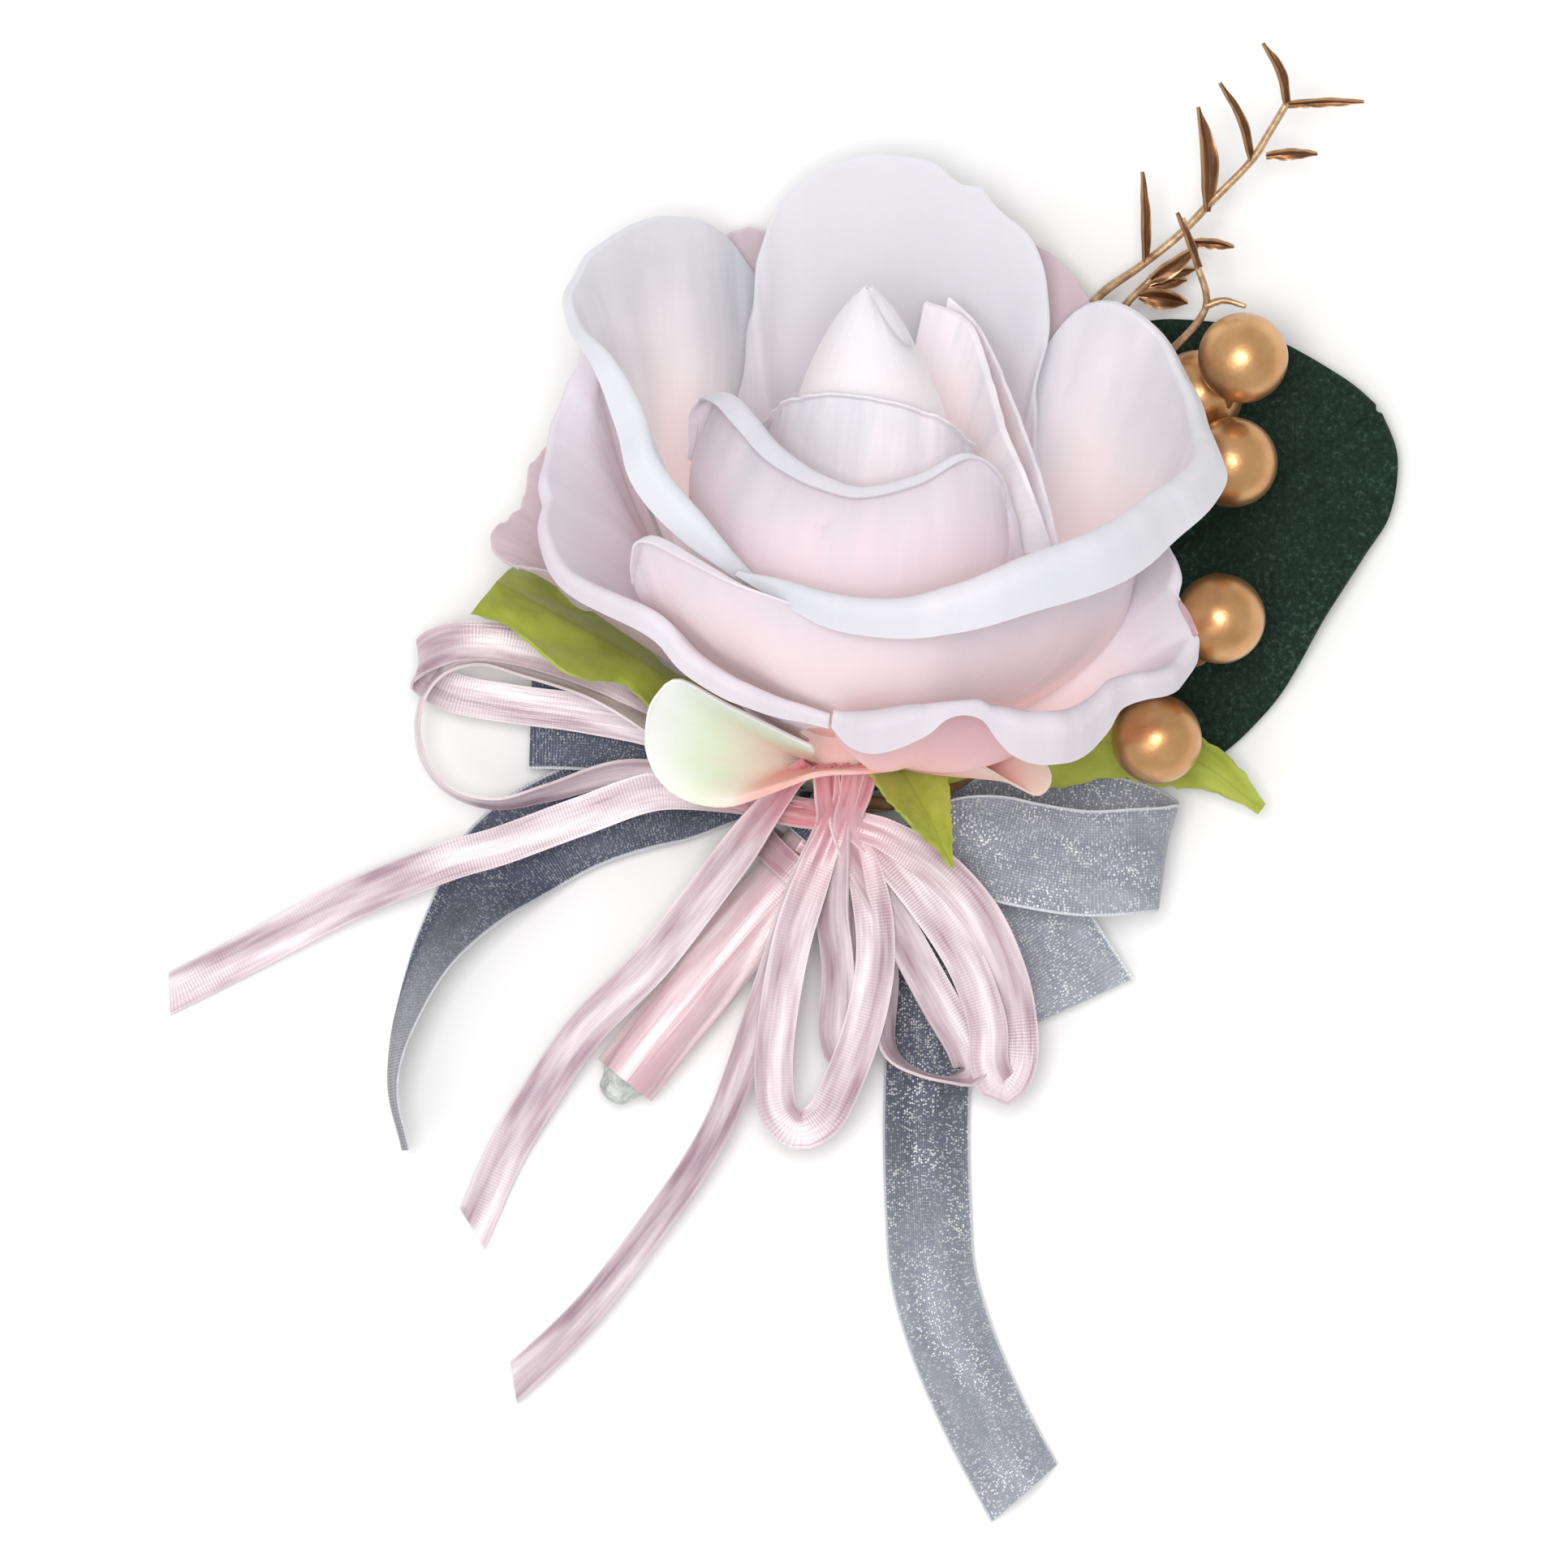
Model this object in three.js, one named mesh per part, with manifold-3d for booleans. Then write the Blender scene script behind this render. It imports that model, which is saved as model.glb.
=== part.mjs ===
// A silk-flower boutonniere lying on a flat surface: one large rose with its calyx, a satin-wrapped stem,
// a narrow satin bow, a wide organza bow, a velvet leaf, a spray of pearl berries and two gold sprigs.
// Millimetres, +Z up. The rose lies on its side: its axis runs along +Y and rises from the surface.
import * as THREE from 'three';
import Module from 'manifold-3d';
import { mergeVertices } from 'three/addons/utils/BufferGeometryUtils.js';

const wasm = await Module();
wasm.setup();

// Driving dimensions
const BLADE = 0.65; // thickness of petals, sepals and leaves
const SATIN = { width: 4, thick: 0.6, step: 3.8 };
const ORGANZA = { width: 9.4, thick: 0.6, step: 3.6 };
const BERRY_RADIUS = 4;
const FLAT_CUT = 0.3; // what dips this far is pressed flat against the surface
const ROSE = { foot: [5.64, 2.93, 8.5], rise: 30, lean: 0.065 }; // axis 30 degrees above the surface
const STEM = { wireRadius: 0.8, bundleRadius: 2.25, wrapThick: 0.65, sides: 10 };
const FIT = { wrap: 0.6, tie: 0.55, hole: 0.45 }; // room round the bundle, round the wrap and in the holes
const STEM_PATH = [[5.42, 0.35, 7.1], [5.05, -2.4, 5.75], [3.6, -4.9, 5.05], [1.6, -7.4, 4.65],
  [-4.7, -14.6, 3.95], [-10.2, -21.2, 3.7], [-15.2, -27.4, 3.7]];
const WRAP_SPAN = [0.09, 0.955]; // share of the stem path that the satin wrap covers
const TIE = { satin: 0.27, organza: 0.14, thick: 0.6, satinWidth: 2.6, organzaWidth: 3 };

const vec = (p) => new THREE.Vector3(p[0], p[1], p[2]);
const mix = (a, b, t) => a + (b - a) * t;
const ease = (t) => { const c = Math.min(1, Math.max(0, t)); return c * c * (3 - 2 * c); };
const curveOf = (points) => new THREE.CatmullRomCurve3(points.map(vec), false, 'centripetal');

// ---- solids ----

function solidOf(positions, triangles) {
  const mesh = new wasm.Mesh({
    numProp: 3,
    vertProperties: new Float32Array(positions),
    triVerts: new Uint32Array(triangles),
  });
  const solid = new wasm.Manifold(mesh);
  if (solid.volume() > 0) return solid;
  const flipped = [];
  for (let i = 0; i < triangles.length; i += 3) {
    flipped.push(triangles[i], triangles[i + 2], triangles[i + 1]);
  }
  mesh.triVerts = new Uint32Array(flipped);
  return new wasm.Manifold(mesh);
}

function solidFromGeometry(geometry) {
  geometry.deleteAttribute('normal');
  geometry.deleteAttribute('uv');
  const merged = mergeVertices(geometry, 1e-4);
  return solidOf(merged.attributes.position.array, merged.index.array);
}

// A closed sheet of even thickness round a grid of points, its two faces split alike.
function sheet(grid, thick) {
  const rows = grid.length;
  const cols = grid[0].length;
  const upper = [];
  const lower = [];
  for (let i = 0; i < rows; i += 1) {
    for (let j = 0; j < cols; j += 1) {
      const along = grid[Math.min(i + 1, rows - 1)][j].clone().sub(grid[Math.max(i - 1, 0)][j]);
      const across = grid[i][Math.min(j + 1, cols - 1)].clone().sub(grid[i][Math.max(j - 1, 0)]);
      const normal = along.cross(across).normalize().multiplyScalar(thick / 2);
      upper.push(...grid[i][j].clone().add(normal).toArray());
      lower.push(...grid[i][j].clone().sub(normal).toArray());
    }
  }
  const count = rows * cols;
  const at = (i, j) => i * cols + j;
  const triangles = [];
  for (let i = 0; i + 1 < rows; i += 1) {
    for (let j = 0; j + 1 < cols; j += 1) {
      const [a, b, c, d] = [at(i, j), at(i, j + 1), at(i + 1, j + 1), at(i + 1, j)];
      triangles.push(a, b, c, a, c, d);
      triangles.push(count + a, count + c, count + b, count + a, count + d, count + c);
    }
  }
  const edge = [];
  for (let j = 0; j + 1 < cols; j += 1) edge.push(at(0, j));
  for (let i = 0; i + 1 < rows; i += 1) edge.push(at(i, cols - 1));
  for (let j = cols - 1; j > 0; j -= 1) edge.push(at(rows - 1, j));
  for (let i = rows - 1; i > 0; i -= 1) edge.push(at(i, 0));
  for (let k = 0; k < edge.length; k += 1) {
    const a = edge[k];
    const b = edge[(k + 1) % edge.length];
    triangles.push(a, count + a, count + b, a, count + b, b);
  }
  return solidOf([...upper, ...lower], triangles);
}

function polygon(radius, sides) {
  const corners = [];
  for (let k = 0; k < sides; k += 1) {
    const angle = ((k + 0.5) / sides) * Math.PI * 2;
    corners.push(new THREE.Vector2(radius * Math.cos(angle), radius * Math.sin(angle)));
  }
  return corners;
}

// A rod, or a tube where holeRadius is given, along a curve.
function rod(curve, radius, sides, steps, holeRadius = 0) {
  const shape = new THREE.Shape(polygon(radius, sides));
  if (holeRadius > 0) shape.holes.push(new THREE.Path(polygon(holeRadius, sides)));
  const options = { steps, bevelEnabled: false, extrudePath: curve };
  return solidFromGeometry(new THREE.ExtrudeGeometry(shape, options));
}

function ball(centre, radius, across = 10, up = 7) {
  const geometry = new THREE.SphereGeometry(radius, across, up);
  geometry.translate(...centre);
  return solidFromGeometry(geometry);
}

const join = (solids) => solids.reduce((sum, solid) => sum.add(solid));

// One connected body: hollows that the joining sealed are filled and loose scraps are left out.
function oneBody(solid) {
  const pieces = solid.decompose().filter((piece) => piece.volume() > 0);
  pieces.sort((a, b) => b.volume() - a.volume());
  return pieces[0];
}

// What would reach below the surface is pressed to a small flat spot.
function restFlat(solid) {
  const slab = new THREE.BoxGeometry(400, 400, 20);
  slab.translate(0, 0, FLAT_CUT - 10);
  return solid.subtract(solidFromGeometry(slab));
}

function meshOf(name, solid, look) {
  const { vertProperties, triVerts } = oneBody(restFlat(solid)).getMesh();
  const geometry = new THREE.BufferGeometry();
  geometry.setAttribute('position', new THREE.BufferAttribute(new Float32Array(vertProperties), 3));
  geometry.setIndex(new THREE.BufferAttribute(new Uint32Array(triVerts), 1));
  geometry.computeVertexNormals();
  const mesh = new THREE.Mesh(geometry, new THREE.MeshStandardMaterial(look));
  mesh.name = name;
  return mesh;
}

// ---- the rose's own frame: angle round its axis, radius from it and height along it ----

const RISE = THREE.MathUtils.degToRad(ROSE.rise);
const UP = Math.sin(RISE);
const AWAY = Math.cos(RISE);

function roseToTable(angle, radius, height) {
  const sideways = radius * Math.cos(angle);
  const under = radius * Math.sin(angle);
  return new THREE.Vector3(
    ROSE.foot[0] + sideways + ROSE.lean * height,
    ROSE.foot[1] + UP * under + AWAY * height,
    ROSE.foot[2] + UP * height - AWAY * under,
  );
}

function tableToRose(point) {
  const y = point.y - ROSE.foot[1];
  const z = point.z - ROSE.foot[2];
  const height = AWAY * y + UP * z;
  const sideways = point.x - ROSE.foot[0] - ROSE.lean * height;
  const under = UP * y - AWAY * z;
  return { angle: Math.atan2(under, sideways), radius: Math.hypot(sideways, under), height };
}

// The rose is soft: the surface presses its underside up, and on the right the leaf and stalks do.
function pressedUp(point) {
  const floor = 0.24 + 5.7 * ease((point.x - 10) / 7);
  const above = point.z - floor;
  const soft = 1.6;
  if (above < soft) point.z = floor + soft * Math.exp((above - soft) / soft);
  return point;
}

// A petal rises from its foot near the axis to a rim whose points are given above the surface. Its section
// is a Bezier curve in radius and height: bowl = [radius, height] shares of the two inner control points.
function petal({ rim, foot, bowl, bowlEnd = bowl, ripple = 0.35, waves = 3, rows = 5, cols = 10 }) {
  const curve = curveOf(rim);
  const middle = tableToRose(curve.getPointAt(0.5)).angle;
  const grid = [];
  for (let i = 0; i <= rows; i += 1) {
    const t = 1 - (1 - i / rows) ** 1.25;
    const row = [];
    for (let j = 0; j <= cols; j += 1) {
      const s = j / cols;
      const top = tableToRose(curve.getPointAt(s));
      const turn = Math.atan2(Math.sin(top.angle - middle), Math.cos(top.angle - middle));
      const shape = bowl.map((value, k) => mix(value, bowlEnd[k], ease(s)));
      const b1 = 3 * (1 - t) * (1 - t) * t;
      const b2 = 3 * (1 - t) * t * t;
      const b3 = t * t * t;
      const radius = foot[0] + (top.radius - foot[0]) * (b1 * shape[0] + b2 * shape[2] + b3);
      const height = foot[1] + (top.height - foot[1]) * (b1 * shape[1] + b2 * shape[3] + b3);
      const angle = middle + turn * mix(0.62, 1, ease(t * 1.3));
      const wave = ripple * t * t * t * Math.sin(waves * 2 * Math.PI * s + foot[0]);
      row.push(pressedUp(roseToTable(angle, radius + wave, height + wave * 0.5)));
    }
    grid.push(row);
  }
  return sheet(grid, BLADE);
}

// Rims in millimetres: across, along and above the surface, from each petal's left edge to its right edge.
const INNER_BOWL = [0.3, 0.35, 0.85, 0.75];
const CUP = [0.74, 0.05, 0.86, 0.72];
const ROLLED = [0.78, 0.08, 0.8, 1.04];
const SKIRT = [0.5, 0.2, 0.78, 0.85];
const PETALS = {
  budTip: {
    rim: [[0.9, 33.5, 28], [2.2, 37, 29.5], [6.9, 44, 32.4], [10.4, 41, 31.5], [13.4, 35.6, 30],
      [13.6, 31, 29]],
    foot: [5.5, 26], bowl: INNER_BOWL, ripple: 0.15, rows: 4, cols: 8,
  },
  budWrap: {
    rim: [[-1.8, 31.2, 24], [0.2, 33.2, 28.5], [3, 34, 32], [6.7, 33.9, 33.4], [13.4, 32, 32],
      [16.5, 29.4, 27.5]],
    foot: [8, 22], bowl: INNER_BOWL, ripple: 0.15, rows: 4, cols: 9,
  },
  innerFront: {
    rim: [[-8.3, 28.5, 22.5], [-8, 33.4, 26], [-6.1, 33.3, 31.5], [-1.1, 28.3, 36.9], [3.1, 26.4, 37.8],
      [6.7, 25.8, 38.4], [11.7, 26.9, 38.5], [16.7, 29, 37.7], [19.3, 26.5, 35], [20.9, 19.7, 30.3]],
    foot: [8, 9], bowl: [0.75, 0.3, 0.85, 0.8], ripple: 0.25, rows: 4,
  },
  innerRight: {
    rim: [[12.4, 42.4, 15.5], [16, 40.6, 16.5], [18.5, 34.7, 22], [20.3, 30.4, 28.5], [22.4, 26.1, 33],
      [23.7, 19.7, 30]],
    foot: [8, 8], bowl: CUP, ripple: 0.2, rows: 4, cols: 8,
  },
  back: {
    rim: [[-4.4, 29, 3.1], [-3.4, 36.9, 6.7], [-2.9, 42.6, 9.3], [-1.5, 48.3, 11.3], [2.4, 53.3, 12],
      [6.7, 55.1, 12.1], [11, 55.4, 11.8], [16.7, 52.2, 11.5], [20.6, 49, 12], [22.8, 44, 11.8],
      [23, 38.3, 9.9], [22.1, 30.4, 6.5]],
    foot: [7, 7], bowl: [0.8, 0.1, 0.86, 0.8],
  },
  left: {
    rim: [[-0.4, 40.4, 1.8], [-2.9, 45.4, 4.5], [-6.9, 49.6, 9.6], [-10.4, 50.3, 12.7],
      [-14.7, 48.6, 17.5], [-18.3, 44.4, 23.5], [-19, 40.4, 28.4], [-16.9, 37, 33.6], [-14.7, 32.6, 35.7],
      [-11.9, 25.4, 38.3], [-8.6, 22.2, 40.6], [-5.4, 20.1, 42.3], [-0.4, 16.1, 39.9]],
    foot: [6, 5], bowl: CUP, bowlEnd: ROLLED, cols: 12,
  },
  right: {
    rim: [[19.6, 35.4, 4], [23.1, 40.4, 6], [26.7, 42.2, 8.1], [31, 41.5, 10.6], [35.3, 37.6, 14.6],
      [37.4, 31.1, 20.5], [38, 26.1, 29], [34.6, 21.9, 38.4], [29.6, 18.6, 43.7], [22.4, 16, 47],
      [15.3, 14.7, 48.3], [9.6, 14.4, 48.6], [2.4, 15.3, 47.5], [-5.4, 19, 44.6]],
    foot: [6, 4], bowl: CUP, bowlEnd: ROLLED, cols: 13,
  },
  front: {
    rim: [[-13.3, 17.6, 35.2], [-12.9, 20.4, 39.7], [-11.7, 21.5, 42], [-8.3, 19.4, 44],
      [-4.7, 17.4, 45.2], [1, 14.7, 46], [6, 13.1, 46], [13.1, 12.7, 45.2], [20.3, 13.6, 43.4],
      [26, 15.1, 40.4], [30.1, 16.4, 36], [30.6, 14, 29]],
    foot: [5, 3], bowl: [0.78, 0.05, 0.9, 0.62], cols: 11,
  },
  outerLeft: {
    rim: [[-17.6, 40.4, 18.7], [-19, 34.7, 19], [-20.8, 29, 22], [-21.7, 23.3, 27.6], [-19.7, 17.6, 30.9],
      [-16.1, 15.1, 34.6], [-11.9, 12.9, 37], [-8.3, 9.4, 36.9], [-2.6, 6.5, 36.9], [3.9, 4.9, 36.1]],
    foot: [5, 2], bowl: [0.55, 0.12, 0.8, 0.82],
  },
  outerFront: {
    rim: [[34.9, 22.6, 32], [35.4, 17.6, 30.8], [34.9, 14.4, 29.6], [36.4, 10.8, 26.9], [31, 7.2, 36.3],
      [28.5, 2.9, 38.1], [24.6, 1.5, 40.6], [20.3, 3.6, 42], [16.7, 5.8, 42.4], [11.7, 3.9, 42.6],
      [8.1, 2.4, 41.6], [4.6, 4.7, 40]],
    foot: [5, 1.8], bowl: SKIRT, cols: 13, ripple: 0.3,
  },
  backRight: {
    rim: [[3, 47.5, 2.2], [8, 49, 2.6], [15.3, 48.6, 3.6], [22.8, 46.7, 7], [26, 44.4, 8.4],
      [28.5, 40.4, 8.5], [29, 33, 8]],
    foot: [5, 3], bowl: [0.7, 0.15, 0.86, 0.75], cols: 7, rows: 4,
  },
  backLeft: {
    rim: [[4, 46.5, 1.6], [-1, 48.6, 3], [-4, 49, 4.4], [-6.8, 46.6, 6], [-10.5, 40, 4.6],
      [-14.5, 33, 5]],
    foot: [5, 3], bowl: [0.7, 0.15, 0.86, 0.75], cols: 6, rows: 4,
  },
  farLeft: {
    rim: [[-20.5, 31, 8], [-23.3, 24.9, 10], [-25.3, 21.9, 12.5], [-25.4, 20.3, 13.5], [-22.5, 19, 16],
      [-17.5, 18.5, 18.5]],
    foot: [5, 2.4], bowl: [0.5, 0.3, 0.8, 0.92], cols: 6, rows: 4,
  },
  guardLeft: {
    rim: [[3.1, 2.6, 22], [-2.6, 4.6, 27], [-7.6, 7.6, 28.4], [-10.8, 7.6, 28.4], [-11.9, 5.1, 26.9],
      [-10.1, 1.1, 24.7], [-6.9, -1.4, 23.8], [-2.6, -1.4, 22.6], [2.4, 0.8, 19.3]],
    foot: [4, 0.9], bowl: [0.45, 0.3, 0.8, 0.95], ripple: 0.2, cols: 9, rows: 4,
  },
  guardRight: {
    rim: [[11.7, 3.4, 27], [16.7, 4.4, 30.5], [20.6, 2.9, 32.4], [22.9, 0.9, 32.4], [22.6, -0.6, 31.6],
      [20.4, -0.3, 30.4], [16, 1, 27.5], [10.3, 0.6, 20.6]],
    foot: [4, 0.9], bowl: [0.45, 0.3, 0.8, 0.9], ripple: 0.2, cols: 8, rows: 4,
  },
};

// A body turned round the rose's axis, from [radius, height] points.
function turned(profile, sides, shape = (point) => point) {
  const points = profile.map(([radius, height]) => new THREE.Vector2(radius, height));
  const geometry = new THREE.LatheGeometry(points, sides);
  const place = geometry.attributes.position;
  for (let k = 0; k < place.count; k += 1) {
    const angle = Math.atan2(place.getZ(k), place.getX(k));
    const radius = Math.hypot(place.getX(k), place.getZ(k));
    place.setXYZ(k, ...shape(roseToTable(angle, radius, place.getY(k))).toArray());
  }
  return solidFromGeometry(geometry);
}

function makeBloom() {
  const core = turned([[0, -0.8], [3.6, -0.8], [4.3, 0.3], [7, 2.4], [11.5, 4.4], [15.6, 7.4], [18, 11.5],
    [18.4, 15], [16, 18.5], [11, 21], [9.2, 26], [8.2, 32], [5, 40], [0, 43.6]], 14, pressedUp);
  return join([core, ...Object.values(PETALS).map(petal)]);
}

// ---- blades: sepals and leaves along a bent rib ----

// widths: half widths at even shares of the length; notch cuts teeth into the edge; fold lifts the edges.
function blade({ rib, side, widths, notch = 0, teeth = 0, fold = 0, cols = 4, rows = 8, thick = BLADE }) {
  const curve = curveOf(rib);
  const profile = new THREE.SplineCurve(widths.map((w, k) => new THREE.Vector2(k / (widths.length - 1), w)));
  const grid = [];
  for (let i = 0; i <= rows; i += 1) {
    const u = i / rows;
    const centre = curve.getPointAt(u);
    const along = curve.getTangentAt(u);
    const across = vec(side).sub(along.clone().multiplyScalar(vec(side).dot(along))).normalize();
    const normal = along.clone().cross(across);
    const half = profile.getPoint(u).y;
    const row = [];
    for (let j = 0; j <= cols; j += 1) {
      const v = (j / cols) * 2 - 1;
      const cut = notch * Math.abs(v) ** 3 * Math.cos(teeth * Math.PI * 2 * u + v) * Math.min(1, half / 2);
      const point = centre.clone().addScaledVector(across, v * half + cut * Math.sign(v));
      row.push(point.addScaledVector(normal, fold * Math.abs(v) * half));
    }
    grid.push(row);
  }
  return sheet(grid, thick);
}

// Five sepals of the calyx, each along its rib in table millimetres.
const SEPALS = [
  { // left, in front of the bow's loops
    rib: [[1.2, 1.9, 8.1], [-3.2, 3.7, 8.2], [-8.4, 6.8, 9.4], [-13.6, 10.2, 10.7], [-18, 13.1, 11.8],
      [-22.4, 15.6, 12.1], [-25.6, 17.2, 11.6]],
    side: [0.1, 0.55, -0.84], widths: [1.8, 2.6, 3.6, 4.4, 4.6, 3.4, 0.8], notch: 0.7, teeth: 3,
  },
  { // front, hanging under the pink guard petal
    rib: [[7.6, 0.5, 11.2], [9.2, -1.2, 13.6], [11, -3.2, 16.2], [13, -5.4, 18.8], [14.9, -7.1, 20.8]],
    side: [0.87, 0.2, -0.45], widths: [2, 3.4, 4, 3, 0.5], notch: 0.4, teeth: 2, rows: 6,
  },
  { // right, behind the lowest berry
    rib: [[10.1, 0.9, 7.6], [14, 2.1, 7.2], [20, 3.3, 6.9], [26, 3.7, 6.3], [31.5, 3.5, 5.6],
      [36.6, 2, 5.2], [42.3, -2.2, 5.4]],
    side: [0.1, 0.97, 0.22], widths: [1.4, 2.2, 3.3, 3.7, 3, 2.2, 0.5], notch: 0.4, teeth: 3,
  },
  { // back right, along the underside
    rib: [[8.2, 3.9, 4.4], [9.8, 5.9, 3.1], [11.2, 7.8, 2.5]],
    side: [0.8, -0.6, 0.2], widths: [1.6, 2.2, 0.5], rows: 4, cols: 2,
  },
  { // back left, along the underside
    rib: [[3, 3.9, 4.4], [1.2, 5.9, 3], [-0.4, 8, 2.2]],
    side: [0.8, 0.6, 0.2], widths: [1.6, 2.2, 0.5], rows: 4, cols: 2,
  },
];

function makeCalyx() {
  const hole = STEM.wireRadius + FIT.hole;
  const cup = turned([[hole, -2.2], [3.3, -2.1], [4.9, -1], [5.5, 0.1], [5, 0.15], [4.2, -0.8], [3.9, -1.15],
    [hole, -1.15], [hole, -2.2]], 14);
  return join([cup, ...SEPALS.map(blade)]);
}

// ---- stem ----

const stemCurve = curveOf(STEM_PATH);

// The stretch of the stem path between two shares of its length.
function stemStretch(from, to, count = 10) {
  const points = [];
  for (let k = 0; k <= count; k += 1) points.push(stemCurve.getPointAt(mix(from, to, k / count)).toArray());
  return curveOf(points);
}

const WIRE_TOP = roseToTable(0, 0, -1.1).toArray();
const wireCurve = curveOf([WIRE_TOP, ...stemStretch(0.02, 0.2, 3).points.map((p) => p.toArray())]);

function makeWire() {
  return rod(wireCurve, STEM.wireRadius, 6, 4);
}

function makeWrap() {
  const inner = STEM.bundleRadius + FIT.wrap;
  return rod(stemStretch(...WRAP_SPAN), inner + STEM.wrapThick, STEM.sides, 9, inner);
}

// A band tied round the wrapped stem.
function tieBand(share, width) {
  const inner = STEM.bundleRadius + FIT.wrap + STEM.wrapThick + FIT.tie;
  const reach = width / 2 / stemCurve.getLength();
  return rod(stemStretch(share - reach, share + reach, 2), inner + TIE.thick, STEM.sides, 2, inner);
}

// ---- ribbons ----

// A strand follows its path. tilt in degrees turns its face from flat to on edge, or side fixes the direction
// of its width. gather is the share of the width left at each end, arch lifts the middle and skew slants the
// cut end.
function strand({ path, tilt = 0, side = null, gather = [0.5, 1], arch = 0, skew = 0, cols = 1 }, ribbon) {
  const curve = curveOf(path);
  const length = curve.getLength();
  const rows = Math.max(6, Math.round(length / ribbon.step));
  const tilts = Array.isArray(tilt) ? tilt : path.map(() => tilt);
  const tiltCurve = new THREE.SplineCurve(tilts.map((value, k) => new THREE.Vector2(k, value)));
  const grid = [];
  for (let i = 0; i <= rows; i += 1) {
    const u = i / rows;
    const centre = curve.getPointAt(u);
    const along = curve.getTangentAt(u);
    let across;
    if (side) {
      across = vec(side).addScaledVector(along, -vec(side).dot(along)).normalize();
    } else {
      across = new THREE.Vector3(0, 0, 1).cross(along).normalize();
      const turn = THREE.MathUtils.degToRad(tiltCurve.getPoint(curve.getUtoTmapping(u)).y);
      across.applyAxisAngle(along, turn);
    }
    const normal = along.clone().cross(across);
    const start = mix(gather[0], 1, ease(u / 0.22));
    const end = mix(gather[1], 1, ease((1 - u) / 0.22));
    const half = (ribbon.width / 2) * start * end;
    const last = i === rows ? skew : 0;
    const narrowed = Math.sqrt(1 - 0.4 * Math.min(1, arch / 3));
    const row = [];
    for (let j = 0; j <= cols; j += 1) {
      const v = (j / cols) * 2 - 1;
      const point = centre.clone().addScaledVector(across, v * half * narrowed);
      point.addScaledVector(normal, arch * ease(u * 4) * Math.cos((v * Math.PI) / 2));
      row.push(point.addScaledVector(along, last * v));
    }
    grid.push(row);
  }
  return sheet(grid, ribbon.thick);
}

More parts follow.
